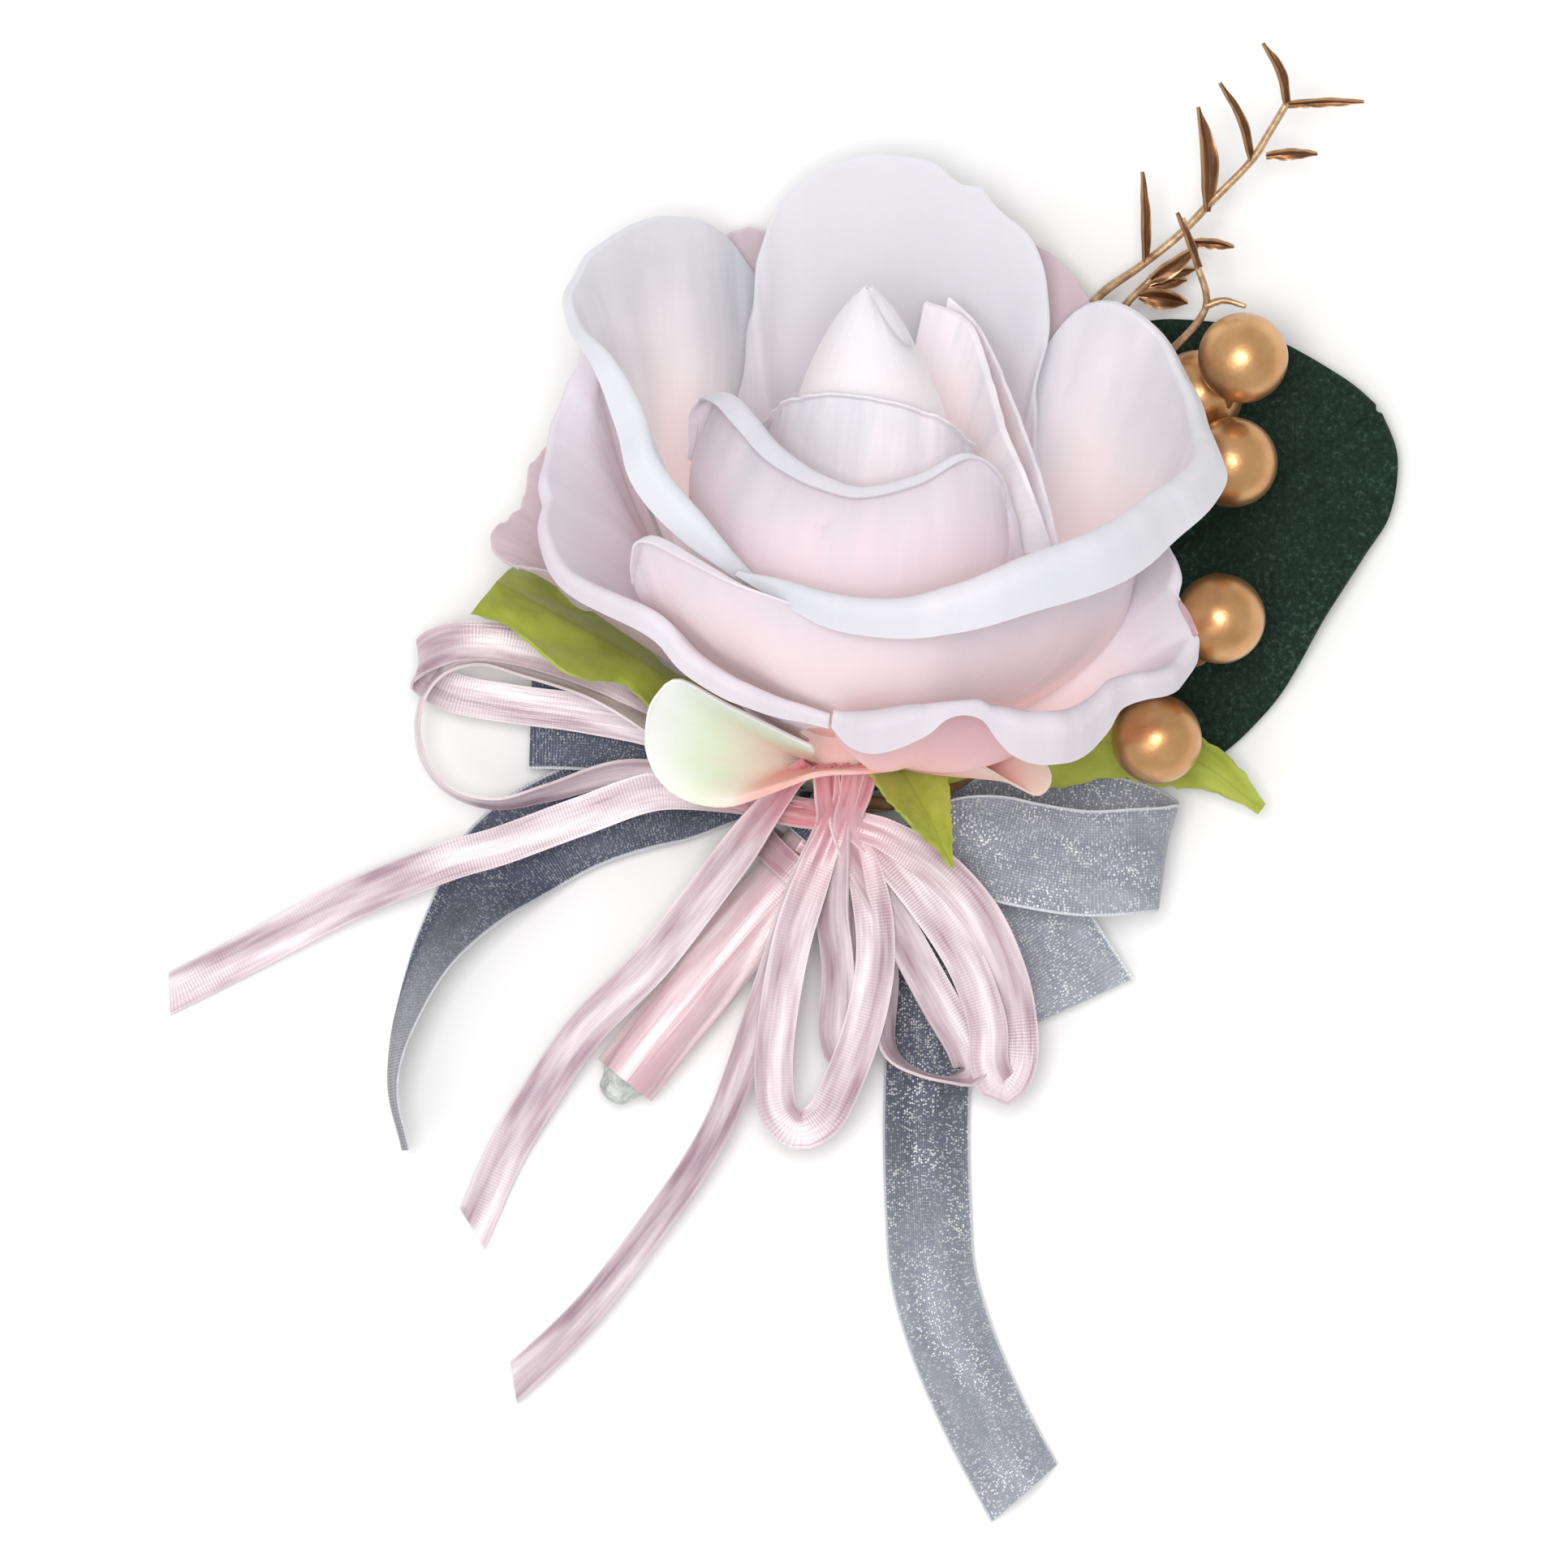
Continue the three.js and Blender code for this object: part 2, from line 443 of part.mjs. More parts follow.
const SATIN_STRANDS = [
  { // long tail to the left
    path: [[3.8, -2.9, 10.9], [0, -2.3, 10], [-4.5, -1.1, 9], [-11, -0.6, 8], [-18.1, -2.9, 7],
      [-25.2, -5.5, 6.2], [-29.6, -6.8, 5.6], [-38.6, -10.4, 3.6], [-47.4, -15, 1.8],
      [-54.4, -18.6, 0.75]],
    skew: 0.8,
  },
  { // middle tail, beside the stem
    path: [[3.4, -3.2, 11.3], [-0.6, -3.8, 11.2], [-4.4, -6, 10.3], [-7.8, -9.6, 9.1],
      [-11.9, -15.3, 6.8], [-17.6, -20.7, 4.7], [-21.5, -26.7, 2.7], [-24.7, -32.4, 1.6],
      [-27.6, -39.2, 0.75]],
    skew: -1.4,
  },
  { // tail that runs under the front loop
    path: [[4, -3.6, 11.2], [2.6, -7.5, 10.4], [0.4, -13.5, 8.8], [-1.5, -19, 6.8], [-3.3, -24.1, 5.1],
      [-5.6, -29.6, 3.9], [-8.6, -35, 2.9], [-12.6, -40.5, 2], [-17, -46.2, 1.2], [-23.9, -53, 0.75]],
    tilt: [0, 10, 20, 20, 20, 15, 10, 5, 0, 0], skew: -1.1,
  },
  { // upper left loop, its face upwards
    path: [[3.4, -2.4, 11.4], [0, -1.8, 9.6], [-3.4, 0.6, 7.6], [-8, 4.5, 6.5], [-13, 8.4, 7.2],
      [-21.4, 11.7, 8.8], [-26, 12.6, 9.1], [-29.4, 12.5, 8.6], [-31.8, 11.3, 7.2], [-32, 9.9, 5.8],
      [-29.8, 8.3, 4.9], [-24, 7.1, 4.6], [-17.5, 6.2, 5], [-10, 4.4, 5.4], [-4, 0.4, 7],
      [0.2, -2.2, 9.2], [3.4, -2.9, 11.2]],
    side: [0.12, 0.97, 0.1], gather: [0.5, 0.5],
  },
  { // round left loop, standing on its edge
    path: [[3.6, -2.6, 11.2], [-0.6, -1.9, 9.9], [-5, 0.8, 8.4], [-11, 4.8, 7.6], [-16.7, 7.9, 7.6],
      [-22.9, 10, 7.8], [-26.9, 10.9, 7.9], [-30, 10, 8], [-31.7, 8, 7.9], [-32.4, 4.8, 7.6],
      [-31.6, 1.7, 7.2], [-29.5, -0.6, 7], [-25.7, -1.7, 7], [-21, -0.8, 7.2], [-14, 0.9, 7.8],
      [-6, -0.3, 9], [0, -2.6, 10.3], [3.6, -3.2, 11.2]],
    tilt: [0, 20, 50, 60, 70, 75, 80, 82, 84, 84, 82, 80, 76, 66, 50, 30, 10, 0], gather: [0.5, 0.5],
  },
  { // long front loop
    path: [[4.4, -3.2, 11.6], [2.8, -7.5, 11.3], [0.9, -13.1, 10.3], [-0.5, -20.3, 8.8], [-0.9, -26, 7.7],
      [-0.3, -29.2, 7.2], [1.4, -30.6, 7], [3.4, -29.6, 7.1], [5, -26.8, 7.4], [7.4, -19.9, 8.6],
      [8.1, -13.9, 9.8], [7.1, -7.8, 10.8], [5.2, -3.2, 11.6]],
    gather: [0.55, 0.55],
  },
  { // narrow loop behind it
    path: [[4.6, -3.2, 11.2], [4.4, -7.2, 10.8], [4.3, -11.5, 9.4], [4.8, -16.7, 7.8], [4.6, -22.4, 6.5],
      [5.4, -24.2, 6.2], [6.5, -22.6, 6.4], [7, -16, 7.6], [7, -10, 9.2], [6.4, -6.8, 10.4],
      [5.2, -3.4, 11.2]],
    tilt: 35, gather: [0.5, 0.5],
  },
  { // right loop that turns back on its edge
    path: [[5, -3.2, 11.4], [6.4, -6, 10.9], [8.1, -9, 10.2], [10.8, -13.9, 9], [14.1, -19.9, 7.8],
      [16.2, -23.6, 7.1], [16.6, -25.4, 6.8], [15, -26.1, 6.6], [12, -25.5, 6.4], [9.4, -23.6, 6.3],
      [8.9, -17, 6.9], [8, -9.4, 9.2], [6.6, -6, 10.8], [5.6, -3.8, 11.4]],
    tilt: [0, -10, -20, -20, -10, 0, 40, 80, 84, 70, 50, 30, 15, 0], gather: [0.55, 0.5],
  },
  { // rightmost loop
    path: [[5.6, -3.2, 11.4], [7.8, -4.9, 11], [10.3, -7.6, 10.5], [13, -11, 10], [16.2, -16.1, 9.2],
      [18, -21.3, 8.3], [18.2, -25, 7.7], [19.3, -26.8, 7.3], [20.6, -24.8, 7.1], [20.5, -19.9, 7.5],
      [19.3, -15.5, 8.9], [17.2, -11.3, 10.2], [13.6, -7.4, 10.8], [9, -4.5, 11.2], [6, -3.2, 11.4]],
    gather: [0.55, 0.5],
  },
];

function makeSatinBow() {
  const knot = new THREE.SphereGeometry(1, 8, 5);
  knot.scale(3, 2, 1.4);
  knot.translate(4.6, -3.3, 11.6);
  const path = [[1, -8.1, 9.3], [2.2, -6.3, 9.9], [3.4, -4.5, 10.9], [4.6, -3, 11.6]];
  const overTie = { path, gather: [1, 1] };
  const strands = [overTie, ...SATIN_STRANDS].map((shape) => strand(shape, SATIN));
  return join([tieBand(TIE.satin, TIE.satinWidth), solidFromGeometry(knot), ...strands]);
}

const ORGANZA_STRANDS = [
  { // wide loop to the right: front band, turn and back band
    path: [[8.1, -6.2, 7.2], [10, -5.9, 7.6], [12.4, -5.4, 8.2], [15.7, -4.9, 8.6], [21.2, -6.2, 9.2],
      [26.6, -7, 9.2], [31, -6.8, 8.5], [33.4, -6.6, 6.8], [33.7, -6.2, 5], [32.3, -5.2, 3.5],
      [28.9, -4, 2.8], [23.9, -3.6, 2.6], [18.4, -3.8, 2.6], [12, -5.4, 2.9], [8.1, -6.3, 3.8]],
    side: [0.14, 0.98, 0.05], gather: [0.35, 0.35], cols: 2,
  },
  { // short tail to the right
    path: [[8, -6.3, 5.3], [10.4, -6.8, 5.7], [13.4, -6.8, 5.9], [17, -7.2, 5.5], [20.4, -9.8, 4.7],
      [23.6, -14.6, 3.6], [26.6, -19.2, 2.5]],
    gather: [0.35, 1], skew: 0.7, cols: 2,
  },
  { // long creased tail
    path: [[6.6, -6.2, 2.6], [9, -7.6, 2.2], [11, -10, 1.7], [12.4, -14, 1.2], [12.8, -19.9, 0.8],
      [12.6, -31, 0.7], [12.8, -38.1, 0.7], [13.2, -43.4, 0.7], [14.9, -49.4, 0.7], [18, -56.6, 0.7],
      [21.3, -62.8, 0.7]],
    arch: 2.6, gather: [0.4, 1], cols: 4, skew: -0.9,
  },
  { // left tail that turns on its edge
    path: [[1.2, -2.1, 2.4], [-3, -0.4, 2.2], [-9.9, -0.6, 2.2], [-15.6, -2, 2.1], [-20.1, -3.9, 2],
      [-24.4, -6.8, 2.1], [-28, -10.8, 2.8], [-31.4, -16, 4], [-33.9, -22.1, 4.8], [-34.5, -27, 5],
      [-33.5, -32.4, 5]],
    tilt: [0, 0, 0, 0, 0, 10, 35, 62, 76, 78, 74], gather: [0.4, 0.8], cols: 2,
  },
  { // small loop end under the satin loops
    path: [[0.8, -2, 4.6], [-3, 0.6, 4.1], [-9, 3.6, 3.7], [-15, 5.6, 3.5], [-20, 6, 3.3],
      [-22.5, 6, 2.5], [-21.4, 6, 1.4], [-16, 5.2, 1.1], [-9, 2.8, 1.2], [-3, 0.2, 1.6],
      [1.5, -2.3, 2.5]],
    side: [0.1, 0.99, 0], gather: [0.35, 0.35],
  },
];

function makeOrganzaBow() {
  const strands = ORGANZA_STRANDS.map((shape) => strand(shape, ORGANZA));
  return join([tieBand(TIE.organza, TIE.organzaWidth), ...strands]);
}

// ---- leaf, berries and sprigs; each runs to a shallow hole in the side of the stem bundle ----

const STALKS = {
  leaf: { radius: 0.6, path: [[6.6, -0.5, 4.9], [8.4, 0.2, 3.7], [10.6, 1.6, 2], [13.4, 3.8, 1.2]] },
  berries: {
    radius: 0.6,
    path: [[6.9, -1.5, 6.7], [10, -1.7, 5.8], [15.5, 0.2, 4.5], [22, 7, 4.3], [28, 15, 4.5],
      [32.6, 23, 4.9], [34.8, 28.6, 5.4], [36.2, 32.6, 5.8]],
  },
  tall: {
    radius: 0.5,
    path: [[7, 0.2, 6.3], [10, 1.6, 4.9], [14.5, 7, 3.4], [20, 20, 3.2], [25, 36, 3.6], [27.2, 42.4, 4.7],
      [31.8, 46, 6.6], [34.9, 48.5, 7.6], [37.9, 51.6, 8.5], [41.4, 55.2, 9.6], [42.9, 57.6, 10.2],
      [44.4, 60.1, 10.8]],
  },
  short: {
    radius: 0.5,
    path: [[6.7, -2, 4.8], [9.6, -1.8, 4.1], [13.4, 0.4, 3.9], [17, 5.4, 3.3], [23, 18, 3.2],
      [27.4, 33, 3.5], [29.7, 41.6, 4.7], [32.4, 44.6, 5.6]],
  },
};

function stalk({ radius, path }) {
  const curve = curveOf(path);
  return rod(curve, radius, 6, Math.max(5, Math.round(curve.getLength() / 5)));
}

// A curve through the points that starts a little before the first, so a hole is deeper than what it holds.
function drawnOut(points) {
  const before = points[0].clone().sub(points[1]).setLength(FIT.hole).add(points[0]);
  return new THREE.CatmullRomCurve3([before, ...points], false, 'centripetal');
}

// The taped bundle of stalks inside the wrap, with plain holes for the rose's wire and the four stalks.
function makeBundle() {
  const body = rod(stemStretch(0, 1), STEM.bundleRadius, STEM.sides, 12);
  const wireHole = rod(drawnOut(wireCurve.points.toReversed()), STEM.wireRadius + FIT.hole, 6, 4);
  const holes = Object.values(STALKS).map(({ radius, path }) => (
    rod(drawnOut(path.slice(0, 2).map(vec)), radius + FIT.hole, 6, 1)));
  return [wireHole, ...holes].reduce((solid, hole) => solid.subtract(hole), body);
}

// A broad rounded blade; its left and right halves differ, as on the real leaf.
function makeLeaf() {
  const reach = 52;
  const base = new THREE.Vector3(9.6, 3.6, 0);
  const along = new THREE.Vector3(0.824, 0.566, 0).normalize();
  const across = new THREE.Vector3(-along.y, along.x, 0);
  const shares = [0, 0.06, 0.2, 0.38, 0.56, 0.73, 0.84, 0.92, 0.98, 1];
  const leftHalf = [0.8, 1.6, 6.5, 13.4, 18, 18.6, 15.4, 10.8, 4.2, 0.6];
  const rightHalf = [0.8, 2.2, 10.5, 16.8, 16.4, 12.4, 10, 8.2, 4.6, 0.6];
  const lineOf = (values) => new THREE.SplineCurve(values.map((w, k) => new THREE.Vector2(k, w)));
  const [shareLine, leftLine, rightLine] = [shares, leftHalf, rightHalf].map(lineOf);
  const rows = 15;
  const cols = 8;
  const grid = [];
  for (let i = 0; i <= rows; i += 1) {
    const t = i / rows;
    const share = shareLine.getPoint(t).y;
    const row = [];
    for (let j = 0; j <= cols; j += 1) {
      const v = (j / cols) * 2 - 1;
      const half = v > 0 ? leftLine.getPoint(t).y : rightLine.getPoint(t).y;
      const point = base.clone().addScaledVector(along, share * reach).addScaledVector(across, v * half);
      const outside = ease((point.x - 30) / 22);
      point.z = 0.68 + 0.5 * Math.abs(v) ** 2 * Math.sin(t * Math.PI)
        + outside * (2.2 + 0.9 * Math.sin(share * 14 + v * 2.4) * Math.abs(v));
      row.push(point);
    }
    grid.push(row);
  }
  return sheet(grid, BLADE + 0.05).add(stalk(STALKS.leaf));
}

const BERRIES = [
  { centre: [40.5, 37.6, 12.8], twig: [[34.4, 27.6, 5.3], [37.8, 31.4, 7.4], [39.8, 34.8, 10]] },
  { centre: [39.6, 28.4, 10.5], twig: [[33, 24, 5], [36, 26, 7], [38.4, 27.6, 9.4]] },
  { centre: [38.5, 14.6, 11.5], twig: [[28.4, 15.6, 4.5], [33, 11.6, 6.6], [36.6, 10.8, 8], [38.2, 12.6, 9.6]] },
  { centre: [32.9, 4, 11.5], twig: [[25.6, 11.6, 4.4], [29.6, 11, 6.6], [32, 8.8, 9.4], [32.8, 6, 10.8]] },
  { centre: [36.6, 34.4, 6.4], twig: [] },
];

function makeBerries() {
  const parts = [stalk(STALKS.berries)];
  BERRIES.forEach(({ centre, twig }) => {
    parts.push(ball(centre, BERRY_RADIUS));
    if (twig.length > 0) parts.push(rod(curveOf([...twig, centre]), 0.45, 6, 6));
  });
  return join(parts);
}

// Sprig leaves: [from, to, half width, bend], each a slim folded blade.
const TALL_LEAVES = [
  [[32, 46.1, 6.7], [31.7, 54.1, 8.6], 0.75, 0.5],
  [[37.5, 51.1, 8.4], [36.6, 59.8, 10.4], 1.35, 1],
  [[41.3, 55.1, 9.6], [38.5, 61.9, 11.6], 0.85, 0.8],
  [[44.4, 60, 10.8], [42.3, 65.4, 12.2], 0.9, 0.8],
  [[44.4, 60, 10.8], [51.2, 60.2, 11.6], 0.75, 0.5],
  [[41.3, 55.1, 9.6], [47.1, 55.6, 9.2], 0.95, 0.5],
];
const SHORT_LEAVES = [
  [[32.1, 44.3, 5.5], [36.6, 47.4, 5.4], 1, 0.4],
  [[32.3, 44.5, 5.6], [36.6, 45.2, 4.2], 1, -0.4],
  [[31.6, 43.7, 5.3], [37.2, 41.4, 4.6], 1.2, 0.6],
  [[36.1, 47.6, 12.2], [39.7, 47.5, 12.4], 0.85, 0.4],
  [[36.5, 45.4, 12], [34.7, 50.6, 13.6], 0.8, 0.3],
];
const HOOK_STEM = [[26.4, 30, 3.4], [30, 34.6, 5.2], [34.3, 38.4, 8.6], [37.3, 42.3, 11], [36.4, 46, 12],
  [35.2, 49.8, 13]];
const HOOK_TWIG = [[37.2, 42.2, 11], [38.8, 42.7, 11.2], [40.7, 42.2, 11.4]];

function sprigLeaf([from, to, half, bend]) {
  const middle = vec(from).lerp(vec(to), 0.5).add(new THREE.Vector3(bend, bend * 0.3, 0.3));
  const direction = vec(to).sub(vec(from)).normalize();
  const side = new THREE.Vector3(-direction.y, direction.x, 0.5).toArray();
  return blade({
    rib: [from, middle.toArray(), to], side, widths: [0.35, half * 0.9, half, half * 0.7, 0.2],
    fold: 0.2, rows: 5, cols: 2, thick: 0.6,
  });
}

function makeTallSprig() {
  return join([stalk(STALKS.tall), ...TALL_LEAVES.map(sprigLeaf)]);
}

function makeShortSprig() {
  const hook = [rod(curveOf(HOOK_STEM), 0.42, 6, 9), rod(curveOf(HOOK_TWIG), 0.35, 5, 3)];
  return join([stalk(STALKS.short), ...hook, ...SHORT_LEAVES.map(sprigLeaf)]);
}

// ---- assembly ----

const boutonniere = new THREE.Group();
boutonniere.add(
  meshOf('rose_bloom', makeBloom(), { color: 0xefdadd, roughness: 0.75, metalness: 0 }),
  meshOf('rose_calyx', makeCalyx(), { color: 0xa3b03c, roughness: 0.7, metalness: 0 }),
  meshOf('rose_stem', makeWire(), { color: 0x6d7d4a, roughness: 0.7, metalness: 0 }),
  meshOf('stem_bundle', makeBundle(), { color: 0xb9beb8, roughness: 0.8, metalness: 0 }),
  meshOf('stem_wrap', makeWrap(), { color: 0xe6c0c2, roughness: 0.35, metalness: 0 }),
  meshOf('satin_bow', makeSatinBow(), { color: 0xe4c3ca, roughness: 0.35, metalness: 0 }),
  meshOf('organza_bow', makeOrganzaBow(), { color: 0x9a9fae, roughness: 0.45, metalness: 0.1 }),
  meshOf('green_leaf', makeLeaf(), { color: 0x1f3a30, roughness: 0.95, metalness: 0 }),
  meshOf('berry_spray', makeBerries(), { color: 0xb07a3e, roughness: 0.3, metalness: 0.6 }),
  meshOf('gold_sprig_tall', makeTallSprig(), { color: 0x8a5a34, roughness: 0.4, metalness: 0.6 }),
  meshOf('gold_sprig_short', makeShortSprig(), { color: 0x9a6a3c, roughness: 0.4, metalness: 0.6 }),
);

// The part stands on z = 0 with its box centred on the origin.
const box = new THREE.Box3().setFromObject(boutonniere);
const centre = box.getCenter(new THREE.Vector3());
boutonniere.position.set(-centre.x, -centre.y, -box.min.z);
boutonniere.updateMatrixWorld(true);

export default boutonniere;
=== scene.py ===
"""Looks of a silk rose boutonniere lying on a pale surface, seen from straight above.

All shape tables are in millimetres in the part's own layout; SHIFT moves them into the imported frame.
"""
import math
import random

import bpy
import numpy as np
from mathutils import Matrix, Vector


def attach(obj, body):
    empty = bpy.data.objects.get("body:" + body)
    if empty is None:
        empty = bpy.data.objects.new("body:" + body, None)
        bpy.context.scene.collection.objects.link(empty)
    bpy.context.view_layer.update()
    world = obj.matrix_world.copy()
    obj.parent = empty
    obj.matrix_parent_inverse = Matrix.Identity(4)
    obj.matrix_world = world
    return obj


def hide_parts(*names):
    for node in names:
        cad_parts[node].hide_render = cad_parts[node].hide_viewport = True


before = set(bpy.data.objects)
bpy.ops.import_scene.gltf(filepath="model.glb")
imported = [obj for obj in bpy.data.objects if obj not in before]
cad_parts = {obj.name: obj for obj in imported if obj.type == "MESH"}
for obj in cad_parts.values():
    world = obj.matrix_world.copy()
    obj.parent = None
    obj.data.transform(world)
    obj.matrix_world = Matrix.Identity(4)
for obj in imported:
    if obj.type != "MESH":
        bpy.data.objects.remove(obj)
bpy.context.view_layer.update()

SHIFT = np.array([0.116, -0.034, -0.300])
MM = 0.001
# how bright a white surface that faces the camera shows under the lights of the stage
FULL_LIGHT = 1.16

# where the rose's axis starts, how steeply it rises from the surface, and how far it leans to the right
ROSE_FOOT = np.array([5.64, 2.93, 8.5])
ROSE_RISE = math.radians(30)
ROSE_LEAN = 0.065
UP, AWAY = math.sin(ROSE_RISE), math.cos(ROSE_RISE)

PETAL_THICK, SEPAL_THICK, LEAF_THICK, SPRIG_LEAF_THICK = 0.24, 0.32, 0.55, 0.3
SATIN_WIDTH, SATIN_THICK = 3.45, 0.26
ORGANZA_WIDTH, ORGANZA_THICK = 9.4, 0.14
BERRY_RADIUS, TWIG_RADIUS, WIRE_RADIUS = 4.0, 0.42, 0.8
BUNDLE_RADIUS, WRAP_RADIUS, TIE_RADIUS, TIE_DEPTH = 2.25, 3.42, 4.35, 0.3
# the rounded end of a tube: how far it closes, and its length as a share of the radius
DOME_TURN, DOME_BULGE = math.radians(86.4), 0.6
# lowest places of pieces that lie on the surface
PETAL_LOW, RIBBON_LOW, WRAP_LOW = 0.46, 0.48, 0.34
# the middle of the stem, from under the rose to its cut end
STEM_PATH = [[5.42, 0.35, 7.1], [5.05, -2.4, 5.75], [3.6, -4.9, 5.05], [1.6, -7.4, 4.65],
             [-4.7, -14.6, 3.95], [-10.2, -21.2, 3.7], [-15.2, -27.4, 3.7]]

# the part's node and slot that a piece belongs to
BLOOM = ("rose_bloom", "bloom_petals")
CALYX = ("rose_calyx", "calyx_green")
WIRE = ("rose_stem", "stem_plastic")
BUNDLE = ("stem_bundle", "floral_tape")
WRAP = ("stem_wrap", "wrap_satin")
SATIN_BOW = ("satin_bow", "bow_satin")
ORGANZA_BOW = ("organza_bow", "bow_organza")
LEAF = ("green_leaf", "leaf_velvet")
BERRY_SPRAY = ("berry_spray", "berry_pearl")
TALL_SPRIG = ("gold_sprig_tall", "sprig_gold_tall")
SHORT_SPRIG = ("gold_sprig_short", "sprig_gold_short")


def srgb(*shown):
    """A colour given in display values 0-255 as linear numbers."""
    return (*[c / 255 / 12.92 if c <= 10 else ((c / 255 + 0.055) / 1.055) ** 2.4 for c in shown], 1.0)


def lit(*shown):
    """The colour of a matt surface that shows these display values under the full light of the stage."""
    return (*[min(c / FULL_LIGHT, 0.95) for c in srgb(*shown)[:3]], 1.0)


def stops(*rows):
    """Stops of a colour ramp, each a place from 0 to 1 and the display values wanted there."""
    return [(at, lit(*shown)) for at, *shown in rows]


# ---- curves ----

def ease(t):
    c = np.clip(t, 0, 1)
    return c * c * (3 - 2 * c)


def mix(a, b, t):
    return a + (b - a) * t


def unit(v):
    return v / np.maximum(np.linalg.norm(v, axis=-1, keepdims=True), 1e-9)


def each(value, count):
    """A list as it is, or one value as a list of so many."""
    return value if isinstance(value, list) else [value] * count


class Curve:
    """A centripetal Catmull-Rom curve read by share of its length."""

    # straight pieces between two of its points
    PIECES = 36

    def __init__(self, points):
        p = np.array(points, float)
        p = np.vstack([2 * p[0] - p[1], p, 2 * p[-1] - p[-2]])
        places, params = [], []
        count = len(points) - 1
        for k in range(count):
            x0, x1, x2, x3 = p[k:k + 4]
            d0, d1, d2 = [max(np.linalg.norm(b - a), 1e-6) ** 0.5 for a, b in ((x0, x1), (x1, x2), (x2, x3))]
            m1 = ((x1 - x0) / d0 - (x2 - x0) / (d0 + d1) + (x2 - x1) / d1) * d1
            m2 = ((x2 - x1) / d1 - (x3 - x1) / (d1 + d2) + (x3 - x2) / d2) * d1
            w = np.linspace(0, 1, self.PIECES + 1)[(0 if k == 0 else 1):, None]
            places.append(x1 + m1 * w + (-3 * x1 + 3 * x2 - 2 * m1 - m2) * w ** 2
                          + (2 * x1 - 2 * x2 + m1 + m2) * w ** 3)
            params.append((k + w[:, 0]) / count)
        self.places = np.vstack(places)
        self.params = np.concatenate(params)
        step = np.linalg.norm(np.diff(self.places, axis=0), axis=1)
        self.length = step.sum()
        self.share = np.concatenate([[0], np.cumsum(step)]) / self.length
        self.ways = unit(np.gradient(self.places, axis=0))

    def read(self, table, u):
        return np.stack([np.interp(u, self.share, column) for column in table.T], -1)

    def at(self, u):
        return self.read(self.places, u)

    def way(self, u):
        return unit(self.read(self.ways, u))

    def param(self, u):
        return np.interp(u, self.share, self.params)


def spline(values, t):
    """Smooth numbers through values at even shares."""
    v = np.array(values, float)
    t = np.clip(np.asarray(t, float), 0, 1) * (len(v) - 1)
    k = np.minimum(t.astype(int), len(v) - 2)
    w = t - k
    p0, p1, p2, p3 = v[np.maximum(k - 1, 0)], v[k], v[k + 1], v[np.minimum(k + 2, len(v) - 1)]
    v0, v1 = (p2 - p0) / 2, (p3 - p1) / 2
    return (2 * p1 - 2 * p2 + v0 + v1) * w ** 3 + (-3 * p1 + 3 * p2 - 2 * v0 - v1) * w ** 2 + v0 * w + p1


def waver(seed, freqs, x):
    """A smooth, seeded wander of about -1 to 1."""
    rng = random.Random(seed)
    total = np.zeros_like(np.asarray(x, float))
    for f in freqs:
        total = total + np.sin(2 * np.pi * (f * x + rng.random())) * (0.6 + 0.4 * rng.random())
    return total / len(freqs)


def smoothed(values, spread):
    """Values along a row with their quick changes taken out; the two ends stay."""
    reach = int(spread * len(values) * 3)
    kernel = np.exp(-0.5 * (np.arange(-reach, reach + 1) / (spread * len(values))) ** 2)
    head, tail = 2 * values[0] - values[reach:0:-1], 2 * values[-1] - values[-2:-reach - 2:-1]
    return np.convolve(np.concatenate([head, values, tail]), kernel / kernel.sum(), "valid")


# ---- meshes ----

def make_object(name, verts, faces, material, part, uvs, sharp=48, **attributes):
    """A piece of the part; an attribute has a value for each vertex, or one for all of them."""
    mesh = bpy.data.meshes.new(name)
    mesh.from_pydata(((verts + SHIFT) * MM).tolist(), [], faces)
    mesh.validate()
    corner = np.zeros(len(mesh.loops), int)
    mesh.loops.foreach_get("vertex_index", corner)
    mesh.uv_layers.new(name="UVMap").data.foreach_set("uv", np.asarray(uvs, np.float32)[corner].ravel())
    for key, values in attributes.items():
        values = np.full(len(verts), values, np.float32)
        mesh.attributes.new(key, "FLOAT", "POINT").data.foreach_set("value", values)
    for poly in mesh.polygons:
        poly.use_smooth = True
    mesh.set_sharp_from_angle(angle=math.radians(sharp))
    mesh.materials.append(material)
    obj = bpy.data.objects.new(name, mesh)
    bpy.context.scene.collection.objects.link(obj)
    node, slot = part
    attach(obj, "root")
    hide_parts(node)


def outward(verts, faces):
    """The faces, turned if the closed mesh that they make has its faces pointing in."""
    a, b, c, d = verts[[(*face, face[-1])[:4] for face in faces]].transpose(1, 0, 2)
    volume = np.einsum("ij,ij->", a, np.cross(b, c) + np.cross(c, d))
    return faces if volume > 0 else [face[::-1] for face in faces]


